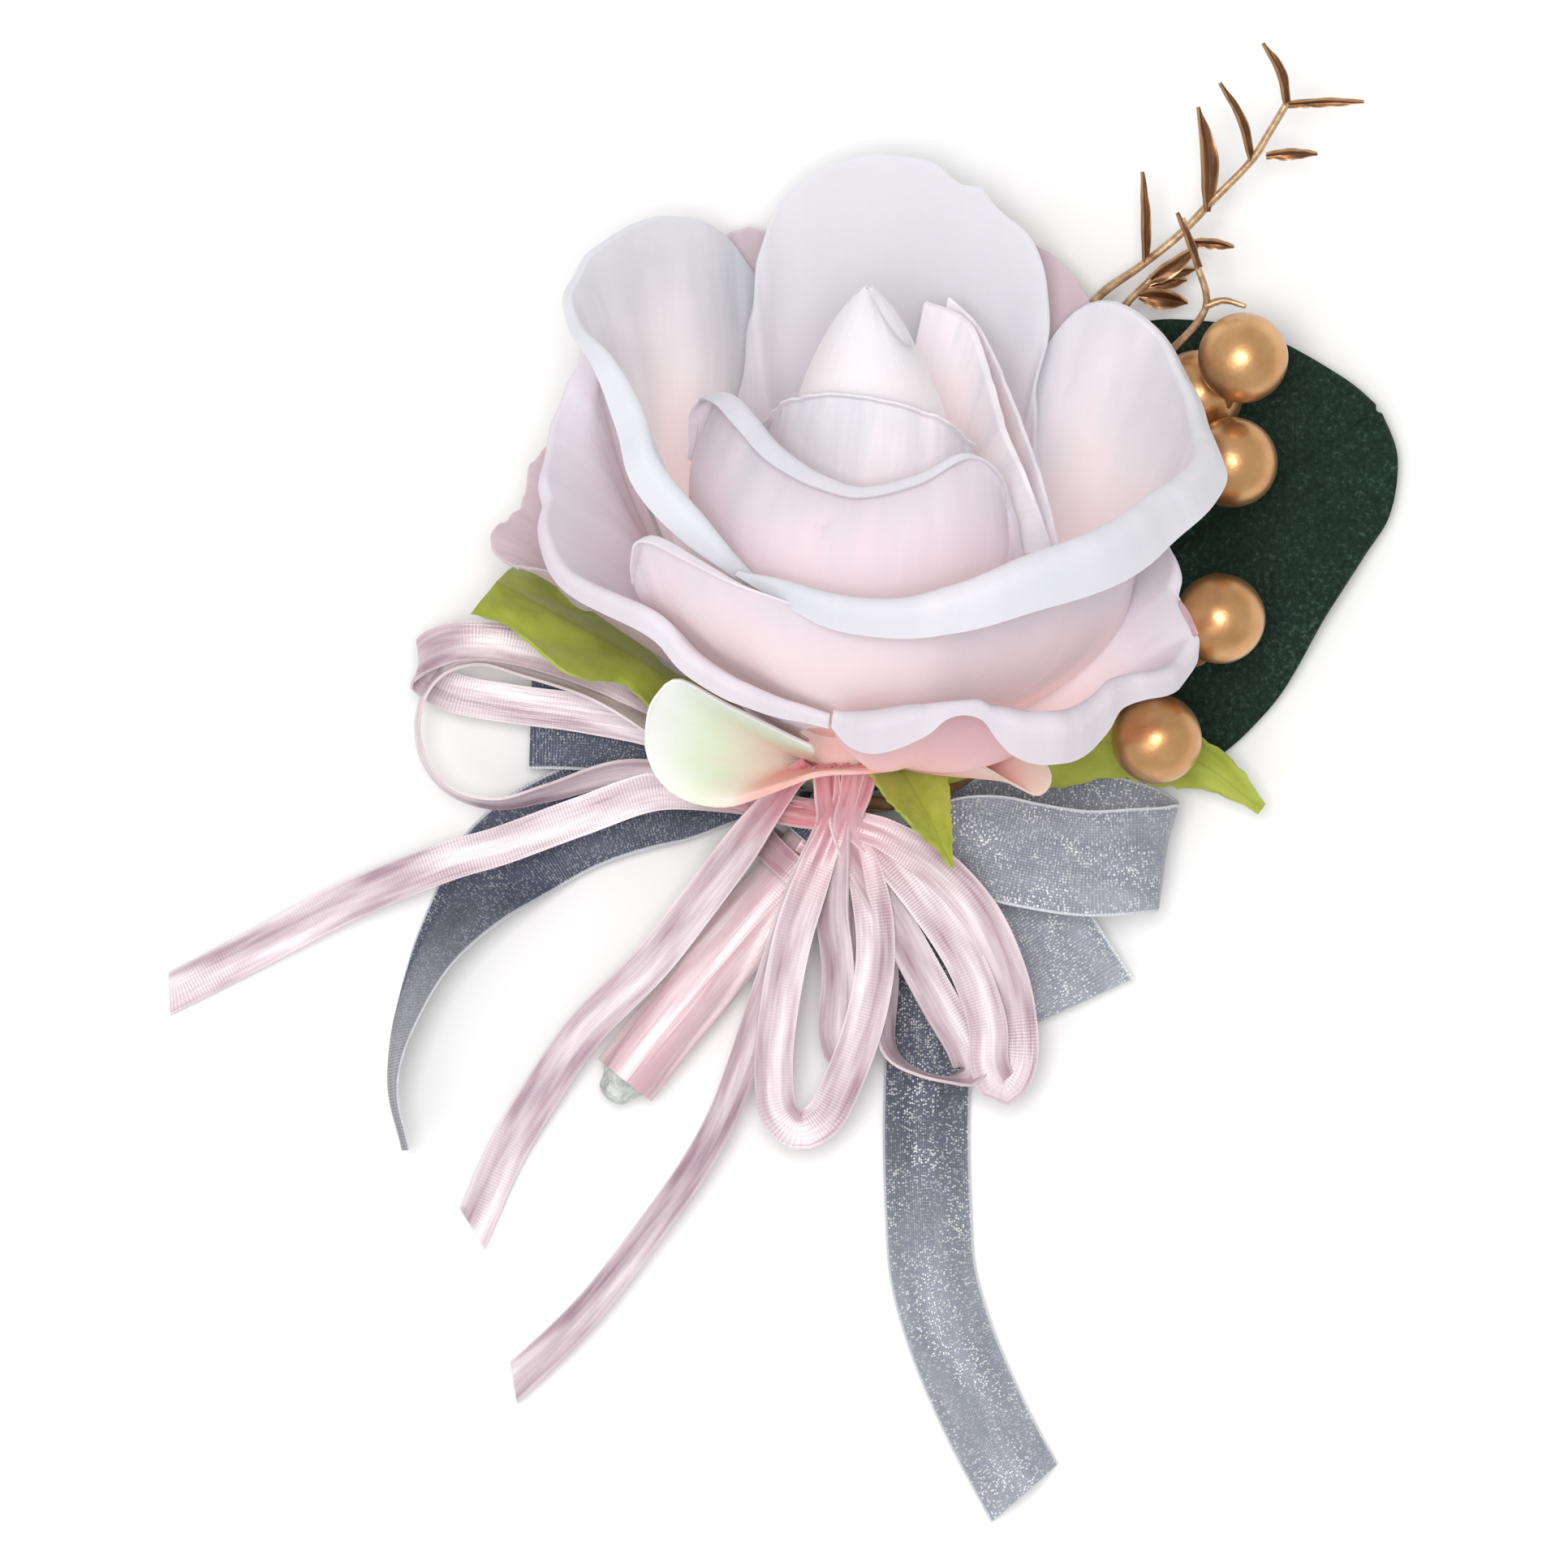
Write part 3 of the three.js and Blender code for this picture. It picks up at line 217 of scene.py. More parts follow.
def sheet(name, grid, thick, material, part, uv, **attributes):
    """A closed cloth sheet round a grid of points, with its thickness and cut edges."""
    rows, cols = grid.shape[:2]
    count = rows * cols
    half = unit(np.cross(np.gradient(grid, axis=0), np.gradient(grid, axis=1))) * (thick / 2)
    verts = np.concatenate([(grid + half).reshape(-1, 3), (grid - half).reshape(-1, 3)])
    numbers = np.arange(count).reshape(rows, cols)
    a = numbers[:-1, :-1].ravel()
    quads = np.stack([a, a + 1, a + cols + 1, a + cols], 1)
    edge = np.concatenate([numbers[0], numbers[1:, -1], numbers[-1, -2::-1], numbers[-2:0:-1, 0]])
    after = np.roll(edge, -1)
    sides = np.stack([edge, after, after + count, edge + count], 1)
    faces = np.concatenate([quads[:, ::-1], quads + count, sides]).tolist()
    uvs = np.tile(np.stack([x.ravel() for x in uv], 1), (2, 1))
    doubled = {key: np.tile(x.ravel(), 2) for key, x in attributes.items()}
    make_object(name, verts, outward(verts, faces), material, part, uvs,
                under=np.repeat([0, 1], count), **doubled)


def ring_angles(count):
    return np.linspace(0, 2 * np.pi, count, endpoint=False)[None, :]


def rings(place, way, r):
    """Rings square to the way at each place, turned as little as possible, with a radius for each point."""
    first, sides = np.array([0.0, 0.0, 1.0]), []
    for w in way:
        first = unit(first - w * first.dot(w))
        sides.append(first)
    sides = np.array(sides)
    angle = ring_angles(r.shape[1])
    return (place[:, None] + sides[:, None] * (np.cos(angle) * r)[..., None]
            + np.cross(way, sides)[:, None] * (np.sin(angle) * r)[..., None])


def tube_points(curve, radius, steps, sides, rounded=True):
    """Rings round a curve; radius may be a function of share and angle."""
    u = np.linspace(0, 1, steps + 1)
    place, way = curve.at(u), curve.way(u)
    r = radius(u[:, None], ring_angles(sides)) if callable(radius) else np.full((steps + 1, sides), radius)
    ring = rings(place, way, r)
    if not rounded:
        return ring
    turn = (np.arange(1, 4) / 3 * DOME_TURN)[:, None, None]
    bulge = DOME_BULGE * np.sin(turn)
    start, end = [place[at] + (ring[at] - place[at]) * np.cos(turn) + sign * way[at] * r[at].mean() * bulge
                  for at, sign in ((0, -1), (-1, 1))]
    return np.concatenate([start[::-1], ring, end])


def ring_quads(rows, sides):
    """Faces between each closed ring of points and the next."""
    i, j = np.meshgrid(np.arange(rows - 1) * sides, np.arange(sides), indexing="ij")
    k = (j + 1) % sides
    return np.stack([i + j, i + k, i + sides + k, i + sides + j], -1).reshape(-1, 4)


def ring_object(name, ring, material, part, uv_size=(1, 1), wrapped=False, **more):
    """A piece from rings closed at both ends, its texture places running round it and along it."""
    rows, sides = ring.shape[:2]
    first, last = rows * sides, rows * sides + 1
    verts = np.concatenate([ring.reshape(-1, 3), ring[:1].mean(1), ring[-1:].mean(1)])
    faces = ring_quads(rows, sides).tolist()
    for j in range(sides):
        k = (j + 1) % sides
        faces += [[first, k, j], [last, first - sides + j, first - sides + k]]
    u, v = np.meshgrid(np.linspace(0, 1, sides, endpoint=wrapped), np.linspace(0, 1, rows))
    middle = 0 if wrapped else 0.5
    uvs = np.concatenate([np.stack([u.ravel(), v.ravel()], 1), [[middle, 0], [middle, 1]]]) * uv_size
    make_object(name, verts, outward(verts, faces), material, part, uvs, **more)


def tube(name, curve, radius, material, part, steps, sides):
    ring_object(name, tube_points(curve, radius, steps, sides), material, part)


# ---- the rose's own frame ----

def rose_to_table(angle, radius, height):
    sideways, under = radius * np.cos(angle), radius * np.sin(angle)
    return np.stack([ROSE_FOOT[0] + sideways + ROSE_LEAN * height,
                     ROSE_FOOT[1] + UP * under + AWAY * height,
                     ROSE_FOOT[2] + UP * height - AWAY * under], -1)


def table_to_rose(p):
    y, z = p[..., 1] - ROSE_FOOT[1], p[..., 2] - ROSE_FOOT[2]
    height = AWAY * y + UP * z
    sideways = p[..., 0] - ROSE_FOOT[0] - ROSE_LEAN * height
    under = UP * y - AWAY * z
    return np.arctan2(under, sideways), np.hypot(sideways, under), height


def pressed_up(p):
    """Places of a petal, with those that would be too low lifted off the surface and the right sepal."""
    soft, sepal_height = 1.6, 5.7
    floor = PETAL_LOW + sepal_height * ease((p[..., 0] - 10) / 7)
    above = p[..., 2] - floor
    p[..., 2] = np.where(above < soft, floor + soft * np.exp(np.minimum(above - soft, 0) / soft), p[..., 2])
    return p


# ---- materials ----

class Material:
    """A shader with its settings, and short calls for building its node tree."""

    def __init__(self, name, settings):
        self.made = bpy.data.materials.new(name)
        self.made.use_nodes = True
        self.tree = self.made.node_tree
        self.shader = self.tree.nodes["Principled BSDF"]
        for key, value in settings.items():
            self.shader.inputs[key].default_value = value

    def add(self, kind, values=(), **settings):
        """A node with its own settings, and with values or other nodes' results in its sockets."""
        node = self.tree.nodes.new(kind)
        for key, value in settings.items():
            setattr(node, key, value)
        for key, value in dict(values).items():
            if isinstance(value, bpy.types.NodeSocket):
                self.tree.links.new(value, node.inputs[key])
            else:
                node.inputs[key].default_value = value
        return node

    def into(self, key, value):
        """Lets a result drive one of the shader's own sockets."""
        self.tree.links.new(value, self.shader.inputs[key])

    def attribute(self, name):
        return self.add("ShaderNodeAttribute", attribute_name=name).outputs["Fac"]

    def uv(self, across, along):
        places = self.add("ShaderNodeUVMap", uv_map="UVMap").outputs["UV"]
        node = self.add("ShaderNodeMapping", {"Vector": places, "Scale": (across, along, 1)})
        return node.outputs["Vector"]

    def place(self):
        return self.add("ShaderNodeTexCoord").outputs["Object"]

    def noise(self, vector, scale=1.0, detail=3.0, rough=0.5):
        values = {"Vector": vector, "Scale": scale, "Detail": detail, "Roughness": rough}
        return self.add("ShaderNodeTexNoise", values).outputs["Fac"]

    def wave(self, vector, scale, bands):
        values = {"Vector": vector, "Scale": scale}
        return self.add("ShaderNodeTexWave", values, bands_direction=bands).outputs["Fac"]

    def math(self, operation, a, b=0.0, clamp=False):
        return self.add("ShaderNodeMath", {0: a, 1: b}, operation=operation, use_clamp=clamp).outputs[0]

    def plus(self, a, b, clamp=False):
        return self.math("ADD", a, b, clamp)

    def times(self, a, b):
        return self.math("MULTIPLY", a, b)

    def ramp(self, value, colours):
        """Colours along a value, each with its place; a plain number stands for a grey."""
        node = self.add("ShaderNodeValToRGB", {"Fac": value})
        elements = node.color_ramp.elements
        while len(elements) < len(colours):
            elements.new(0.5)
        for element, (at, colour) in zip(elements, colours):
            element.position = at
            element.color = colour if isinstance(colour, tuple) else (colour, colour, colour, 1)
        return node.outputs["Color"]

    def blend(self, factor, a, b, kind="MIX"):
        node = self.add("ShaderNodeMix", {0: factor, 6: a, 7: b}, data_type="RGBA", blend_type=kind)
        return node.outputs[2]

    def relief(self, height, strength, distance):
        node = self.add("ShaderNodeBump", {"Height": height, "Strength": strength, "Distance": distance})
        self.into("Normal", node.outputs["Normal"])


def petal_material(name, colours, under_tint_and_shade, streak=0.3, glow=0.3):
    """Stiffened silk: colour from rim to foot, fine lengthwise creases and a faint weave. Its glow is painted
    light:
    an emission that stands for the light that comes through thin silk deep between the petals."""
    n = Material(name, {
        "Roughness": 0.66, "Specular IOR Level": 0.25, "Sheen Weight": 0.12, "Sheen Roughness": 0.4,
        "Subsurface Weight": 0.3, "Subsurface Radius": (1.0, 0.75, 0.72), "Subsurface Scale": 0.0012,
        "Emission Color": (1.0, 0.86, 0.8, 1)})
    pink = n.attribute("pink")
    creases = n.noise(n.uv(22, 1.6), detail=4)
    cloudy = n.noise(n.place(), 90)
    wander = n.times(n.math("SUBTRACT", creases, 0.5), streak)
    wander = n.plus(wander, n.times(n.math("SUBTRACT", cloudy, 0.5), 0.3))
    colour = n.ramp(n.plus(pink, wander, clamp=True), colours)
    # the under side is tinted: a pale tint of the silk on most petals, painted shade on the skirt
    n.into("Base Color", n.blend(n.times(n.attribute("under"), 0.6), colour, under_tint_and_shade, "MULTIPLY"))
    # painted glow: an emission that grows with the pink towards the foot, standing for light in the deep
    # places
    n.into("Emission Strength", n.times(n.math("MINIMUM", n.plus(pink, -0.1, clamp=True), 0.6), glow))
    n.relief(n.plus(creases, n.times(n.noise(n.place(), 2600, 2), 0.1)), 0.22, 0.0006)
    return n.made


def ribbon_material(name, shade, light, gather):
    """Satin: painted highlights and painted shade in soft stretches along it, fine cross ribs, and painted
    shade, a deeper colour, where it is gathered.
    """
    n = Material(name, {"Specular IOR Level": 0.8, "Sheen Weight": 0.2, "Sheen Roughness": 0.3,
                        "Sheen Tint": srgb(255, 236, 242)})
    threads = n.noise(n.uv(3.2, 0.1), detail=4)
    # painted highlight and painted shade: a long noise along the ribbon moves its colour between the shaded
    # and the lit tone
    value = n.plus(n.times(n.noise(n.uv(0.36, 0.055)), 0.84), n.times(threads, 0.16))
    # painted shade at the gathers: the root attribute blends in the deeper gather colour
    colour = n.blend(n.attribute("root"), n.ramp(value, [(0.4, shade), (0.6, light)]), gather)
    selvage = n.ramp(n.attribute("edge"), [(0.0, 0), (0.86, 0), (0.97, 0.4)])
    n.into("Base Color", n.blend(selvage, colour, lit(250, 238, 240)))
    n.into("Roughness", n.plus(n.times(threads, 0.16), 0.22))
    n.relief(n.plus(threads, n.times(n.wave(n.uv(0, 1), 1.1, "Y"), 0.1)), 0.22, 0.0003)
    return n.made


def organza_material(name, thread, shade, opaque, glitter=1.0):
    """Sheer woven ribbon: fine threads with glitter among them, its sparkle painted in as white glints, and
    two opaque selvages.
    """
    n = Material(name, {"Roughness": 0.36, "Metallic": 0.1, "Sheen Weight": 0.25})
    weave = n.math("MAXIMUM", n.wave(n.uv(1, 0), 1.3, "X"), n.wave(n.uv(0, 1), 1.1, "Y"))
    # painted glints: white spots put into the colour and the cover, where glitter threads would catch the
    # light
    sparkle = n.add("ShaderNodeTexVoronoi", {"Vector": n.uv(4.0, 5.6), "Scale": 1.0}).outputs
    grain = n.add("ShaderNodeSeparateColor", {"Color": sparkle["Color"]}).outputs[0]
    glint = n.times(n.ramp(sparkle["Distance"], [(0.0, 1), (0.34, 0.9), (0.55, 0)]),
                    n.ramp(grain, [(0.45, 0), (0.6, 1)]))
    patch = n.ramp(n.noise(n.uv(0.25, 0.16)), [(0.34, 0.3), (0.56, 1)])
    glint = n.times(n.times(glint, patch), glitter)
    edge = n.ramp(n.attribute("edge"), [(0.0, 0), (0.93, 0), (0.965, 1)])
    # painted shade: darkens the cloth towards its shaded tone and makes it denser
    gloom = n.attribute("gloom")
    body = n.ramp(n.noise(n.uv(0.5, 0.16)), [(0.3, shade), (0.7, thread)])
    body = n.blend(gloom, n.blend(n.times(weave, 0.35), body, thread), shade, "MULTIPLY")
    colour = n.blend(n.times(glint, 0.95), body, lit(255, 255, 255))
    n.into("Base Color", n.blend(n.times(edge, 0.75), colour, lit(232, 235, 242)))
    cover = n.plus(n.plus(n.times(weave, 0.3), opaque), n.times(gloom, 0.3))
    bright = n.math("MAXIMUM", glint, n.times(edge, 0.9))
    n.into("Alpha", n.math("MAXIMUM", cover, bright, clamp=True))
    n.relief(n.plus(weave, glint), 0.3, 0.0002)
    return n.made


def simple_material(name, dark, light, scale, roughness, bump=0.2, distance=0.0003, metallic=0.0):
    """Two tones drifting over the piece, with a fine bump."""
    n = Material(name, {"Roughness": roughness, "Metallic": metallic})
    n.into("Base Color", n.ramp(n.noise(n.place(), scale, 4, 0.6), [(0.32, dark), (0.68, light)]))
    n.relief(n.noise(n.place(), scale * 6), bump, distance)
    return n.made


ROSE_STOPS = stops((0, 224, 226, 232), (0.2, 250, 244, 249), (0.42, 266, 249, 251), (0.7, 268, 236, 232),
                   (0.88, 266, 208, 197), (1, 256, 178, 164))
BLUSH_STOPS = stops((0, 218, 217, 224), (0.22, 236, 224, 231), (0.6, 250, 227, 229), (1, 250, 188, 176))
SKIRT_STOPS = stops((0, 216, 211, 219), (0.3, 229, 219, 227), (0.6, 243, 222, 225), (1, 248, 186, 178))
BUD_STOPS = stops((0, 242, 236, 240), (0.5, 252, 240, 243), (1, 262, 234, 232))
# painted shade: a greyer, darker copy of the petal colours for the petals that lie in shade at the back and
# sides
SHADED_PETAL_STOPS = stops((0, 230, 224, 232), (0.5, 212, 197, 206), (1, 184, 164, 172))
GUARD_GREEN_STOPS = stops((0, 250, 252, 248), (0.3, 236, 248, 222), (0.6, 250, 238, 224), (1, 250, 172, 168))
GUARD_PINK_STOPS = stops((0, 222, 216, 194), (0.25, 240, 190, 184), (1, 248, 164, 162))


# ---- rose ----

CUP = [0.74, 0.05, 0.86, 0.72]
TUCKED = [0.38, 0.36, 0.66, 0.9]
SKIRT = [0.5, 0.2, 0.78, 0.85]
# rim: places that a petal's rim passes through. foot: radius and height of its foot in the rose's own frame.
# bowl: how far out and up the two handles of its section are, as shares of the way from foot to rim; bowl_end
# is the same at the last place of the rim. pink: how deep its colour is at the rim and at the foot. roll: the
# size of its lip along the rim. turn_out: how far the lip turns, in degrees. edge: 1 where the lip's end
# follows the rim, 0 where the fold before it does. rim_over: how much the rim joins in when a petal is moved
# out over others.
PETALS = {
    "bud_wrap": dict(
        rim=[[-1.8, 31.2, 24], [0.2, 33.2, 28.5], [3, 34, 32], [6.7, 33.9, 33.4], [13.4, 32, 32],
             [16.5, 29.4, 27.5]],
        foot=[10, 21], bowl=[0.4, 0.4, 0.75, 0.75], ripple=0.05, pink=(0.05, 0.45), roll=0.6, ruffle=0.05,
        turn_out=60),
    "inner_front": dict(
        rim=[[-8.3, 28.5, 22.5], [-8, 33.4, 26], [-6.1, 33.3, 31.5], [-1.1, 28, 36.9], [3.1, 25.8, 37.8],
             [6.7, 25.1, 38.4], [11.7, 26.2, 38.5], [16.7, 28.6, 37.7], [19.3, 26.5, 35],
             [20.9, 19.7, 30.3]],
        foot=[8, 9], bowl=[0.75, 0.3, 0.85, 0.8], belly=4.4, stuff="blush", ripple=0.15, pink=(0.0, 0.9),
        folds=0.18, cols=120, rows=56, ruffle=0.1, roll=[0.4, 1.0, 1.6, 1.7, 1.4, 1.1, 0.9, 0.6, 0.35, 0.3],
        turn_out=112, edge=1.0, dent=(0.5, 0.82, 0.4)),
    "inner_right": dict(
        rim=[[12.4, 42.4, 15.5], [16, 40.6, 17.5], [18, 35, 22.5], [19.4, 30.4, 28.5], [21.4, 26.1, 32.5],
             [23.4, 20.4, 31]],
        foot=[7, 20], bowl=[0.25, 0.45, 0.7, 0.8], ripple=0.02, pink=(0.15, 0.5), ruffle=0.03, fray=0.2,
        folds=0.05, roll=0.5),
    "inner_right_fold": dict(
        rim=[[14.5, 42.8, 14.5], [17, 40.4, 16.2], [19.4, 35.2, 21.2], [21.2, 30.4, 27.4], [22.8, 25.6, 31],
             [24.2, 19.8, 29.4]],
        foot=[8.6, 12], bowl=[0.4, 0.35, 0.8, 0.75], ripple=0.02, pink=(0.15, 1.0), ruffle=0.03, fray=0.2,
        folds=0.05),
    "back": dict(
        rim=[[-4.4, 29, 3.1], [-3.4, 36.9, 6.7], [-2.9, 42.6, 9.3], [-1.5, 48.3, 11.3], [2.4, 53.3, 12],
             [6.7, 55.1, 12.1], [11, 55.4, 11.8], [14.6, 54.2, 11.6], [15.8, 53.1, 11.4],
             [17.3, 52.6, 11.6], [18.3, 51.2, 11.5], [20.6, 49, 12], [22.4, 45.6, 11.9], [22.9, 42, 11.4],
             [23, 38.3, 10.8], [22.3, 34, 10.4], [22.6, 29, 10.8], [23.2, 25, 12]],
        foot=[7, 7], bowl=[0.8, 0.1, 0.86, 0.8], pink=(-0.3, 0.5), folds=0.8, roll=0.3, ruffle=0.4),
    "left": dict(
        rim=[[-0.4, 40.4, 1.8], [-2.9, 45.4, 4.5], [-6.9, 49.6, 9.6], [-10.4, 50.3, 12.7],
             [-14.7, 48.6, 17.5], [-18.3, 44.4, 23.5], [-19, 40.4, 28.4], [-16.9, 37, 33.6],
             [-14.7, 32.6, 35.7], [-11.9, 25.4, 38.3], [-8.6, 21.7, 39.8], [-5.4, 19, 39.6],
             [-1.4, 16, 36.5]],
        foot=[6, 5], bowl=CUP, bowl_end=TUCKED, pink=(-0.1, 0.95), folds=0.5,
        roll=[0.3, 0.3, 0.3, 0.35, 0.4, 0.5, 0.8, 1.4, 2.0, 2.4, 2.2, 1.3, 0.4],
        turn_out=96, edge=0.8),
    "right": dict(
        rim=[[20.4, 33, 6.5], [23.2, 38.6, 8.4], [26.7, 42.2, 9.6], [31, 41.5, 11.6], [35.3, 37.6, 14.6],
             [37.6, 31.1, 20.5], [38.2, 26.1, 29], [34.6, 21.4, 38.4], [29.6, 17.6, 43.7],
             [22.4, 15.2, 46.6], [15.3, 13.3, 47.2], [9.6, 12.7, 46.6], [3.4, 13.8, 45.2],
             [-0.9, 16.2, 43.2], [-4.4, 18.2, 41]],
        foot=[6, 4], bowl=CUP, bowl_end=TUCKED, pink=(0.0, 0.8), folds=0.35,
        roll=[0.3, 0.3, 0.4, 0.5, 0.8, 1.6, 2.8, 3.6, 4.0, 3.8, 3.2, 2.6, 2.2, 1.3, 0.4],
        turn_out=104, edge=1.0),
    "front": dict(
        rim=[[-13.3, 17.6, 35.2], [-12.9, 20.4, 39.7], [-11.7, 21.5, 42], [-8.3, 19.8, 43.4],
             [-4.7, 17.8, 43.8], [1, 15.6, 44], [6, 14.6, 44], [11, 14.6, 43.8], [15, 15.6, 42.8],
             [20.3, 17, 40.6], [26, 18.4, 37.4], [30.1, 19.4, 33.6], [30.6, 17, 28]],
        foot=[5, 5], bowl=[0.45, 0.3, 0.88, 0.7], bowl_end=[0.62, 0.16, 1.0, 0.62], belly=2.2,
        stuff="blush", pink=(0.15, 1.1), ripple=0.1, folds=0.3,
        roll=[0.4, 0.9, 1.2, 1.0, 0.6, 0.3, 0.3, 0.3, 0.3, 0.3, 0.3, 0.3, 0.3], turn_out=75, edge=0.5,
        rim_over=1.0),
    "outer_left": dict(
        rim=[[-17.6, 40.4, 18.7], [-19, 34.7, 19], [-20.8, 29, 22], [-21.7, 23.3, 27.6],
             [-19.7, 17.6, 30.9], [-16.1, 15.1, 34.6], [-11.9, 12.9, 37], [-8.3, 9.4, 36.9],
             [-2.6, 6.5, 36.9], [3.9, 4.9, 36.1]],
        foot=[5, 5], bowl=[0.3, 0.45, 0.7, 0.9], pink=(0.1, 0.8), stuff="in_shade", folds=0.8,
        roll=[0.3, 0.5, 0.8, 1.0, 1.3, 1.5, 1.6, 1.6, 1.4, 0.9], turn_out=105, edge=1.0),
    "outer_front": dict(
        rim=[[33.8, 20.8, 29], [34.8, 18.6, 31], [34.7, 15.8, 30.8], [35.6, 12.9, 29.6], [36, 10.8, 28.8],
             [35.1, 8.9, 30.5], [33.9, 7.9, 32.5], [30.6, 7.1, 35], [29.2, 6.3, 36.2], [28.1, 4.4, 37.2],
             [26.4, 2.6, 38.3], [24.2, 1.8, 39.4], [22.1, 1.8, 40.3], [19.9, 2.6, 41.2], [18.5, 4.1, 42],
             [17.3, 5.6, 42.6], [15.8, 6, 42.8], [14.2, 5.6, 42.6], [12.8, 4.5, 42.2], [9.9, 3.1, 41.6],
             [7.4, 2.7, 41], [5.6, 3.4, 40.4], [4.2, 4.9, 40]],
        foot=[5, 1.8], bowl=SKIRT, ripple=0.1, pink=(0.08, 1.1), cols=130, ruffle=0.12, folds=0.6,
        stuff="skirt",
        roll=[0.6, 0.8, 1.2, 1.6, 1.8, 1.8, 1.8, 2.0, 2.2, 2.8, 3.4, 3.6, 3.6, 3.2, 2.2, 1.4, 1.0, 1.2, 2.0,
              2.8, 2.8, 2.2, 1.2],
        turn_out=105, edge=1.0),
    "back_right": dict(
        rim=[[6, 47.5, 1.2], [12, 49, 1.4], [18, 48.8, 1.9], [22.8, 47.2, 3.2], [25.2, 45.2, 3.8],
             [27, 42, 3.6], [27.4, 37, 3]],
        foot=[5, 3], bowl=[0.7, 0.15, 0.86, 0.75], pink=(0.6, 1.1), stuff="in_shade", ruffle=0.1, ripple=0.1),
    "back_left": dict(
        rim=[[4, 46.5, 1.6], [-1, 48.6, 3], [-4, 49, 4.4], [-6.8, 46.6, 6], [-10.5, 40, 4.6],
             [-14.5, 33, 5]],
        foot=[5, 3], bowl=[0.7, 0.15, 0.86, 0.75], pink=(0.6, 1.1), stuff="in_shade", ruffle=0.1, ripple=0.1),
    "far_left": dict(
        rim=[[-20.5, 31, 8], [-23.3, 24.9, 10], [-25.3, 21.9, 12.5], [-25.4, 20.3, 13.5], [-22.5, 19, 16],
             [-17.5, 18.5, 18.5]],
        foot=[5, 2.4], bowl=[0.5, 0.3, 0.8, 0.92], pink=(0.7, 1.1), stuff="in_shade"),
    "guard_left": dict(
        rim=[[3.1, 4.6, 22], [-2.6, 7.6, 27], [-8.3, 9.7, 28.6], [-10.4, 8.3, 28.4], [-11.9, 5.4, 27.2],
             [-11.7, 2.4, 25.8], [-10.1, 0.1, 24.8], [-7.6, -1.2, 24], [-4.7, -1.4, 23.2], [-1.9, -0.6, 22],
             [1.4, 0.6, 20.6], [3.9, 1.1, 20], [6.7, 1.1, 20], [9.2, 1.3, 20.6], [11.4, 1.9, 21.6],
             [13, 3, 22.6]],
        foot=[4, 0.9], bowl=[0.45, 0.3, 0.8, 0.95], ripple=0.1, pink=(0.0, 0.8), blush=0.9,
        stuff="guard_green", rim_over=1.0, roll=[0.25, 0.3, 0.5, 0.6, 0.5, 0.3, 0.25]),
    "guard_right": dict(
        rim=[[11.7, 4.4, 27], [16.7, 5, 30.5], [20.6, 3.9, 32.4], [23, 1.9, 32.6], [23.3, 0.4, 32],
             [22.4, -0.8, 31.4], [21.1, -0.6, 30.6], [19.2, 0.6, 29.5], [16.7, 2, 28], [14.2, 3.1, 26.5],
             [11.5, 2.2, 23.5], [8, 1.7, 21.4]],
        foot=[4, 0.9], bowl=[0.45, 0.3, 0.8, 0.9], ripple=0.1, pink=(0.0, 0.9), stuff="guard_pink",
        roll=0.3),
}
# radius and height of the closed core that fills the bloom under its petals
HEART = [[0, -0.8], [3.4, -0.8], [4.1, 0.3], [4.6, 2.4], [5.5, 4.4], [7, 7.4], [11, 11.5], [13, 15],
         [12.4, 18.5], [9.5, 21], [6.4, 26], [5.4, 32], [3, 38], [0, 40]]
# petals that are moved out until they lie over the core and those laid before them
LAID = ("inner_front", "left", "right", "front", "outer_left", "back_right", "back_left",
        "far_left", "guard_left")
# petals with a coarser grid and shallower folds
SMALL_PETALS = ("bud_wrap", "guard_left", "guard_right", "far_left")


class Layers:
    """How far out the petals laid so far reach, by angle round the rose and height above its foot."""

    ANGLES, HEIGHTS, BELOW = 120, 70, 8
    BIN_ANGLE, BIN_HEIGHT, GAP = math.radians(3), 1.0, 0.45
    # by how many points of a petal's grid a push is widened, and over how many it is then smoothed out
    WIDEN, FADE, FADE_REACH = 3, 3.5, 9

    def __init__(self):
        self.reach = np.zeros((self.ANGLES, self.HEIGHTS))

    def cell(self, phi, h):
        across = np.round(phi / self.BIN_ANGLE).astype(int) % self.ANGLES
        return across, np.clip(np.round(h / self.BIN_HEIGHT).astype(int) + self.BELOW, 0, self.HEIGHTS - 1)

    def lay(self, phi, r, h):
        """Takes in a petal, and fills heights between its rows."""
        new = np.zeros_like(self.reach)
        np.maximum.at(new, self.cell(phi, h), r)
        filled = new.copy()
        for step in (1, 2, 3):
            filled[:, step:] = np.where(filled[:, step:] > 0, filled[:, step:], filled[:, step - 1:-1])
        self.reach = np.maximum(self.reach, np.where(new > 0, new, filled))

    def push(self, phi, r, h):
        """How far each point must move out to lie over the petals laid so far."""
        wide = np.max([np.roll(self.reach, shift, 0) for shift in (-1, 0, 1)], 0)
        short = np.maximum(wide[self.cell(phi, h)] + self.GAP - r, 0)
        rows, cols = short.shape
        padded = np.pad(short, self.WIDEN, mode="edge")
        window = range(2 * self.WIDEN + 1)
        spread = np.max([padded[i:i + rows, j:j + cols] for i in window for j in window], 0)
        kernel = np.exp(-0.5 * (np.arange(-self.FADE_REACH, self.FADE_REACH + 1) / self.FADE) ** 2)
        kernel /= kernel.sum()

        def faded(line):
            return np.convolve(np.pad(line, self.FADE_REACH, mode="edge"), kernel, "valid")

        return np.apply_along_axis(faded, 1, np.apply_along_axis(faded, 0, spread))


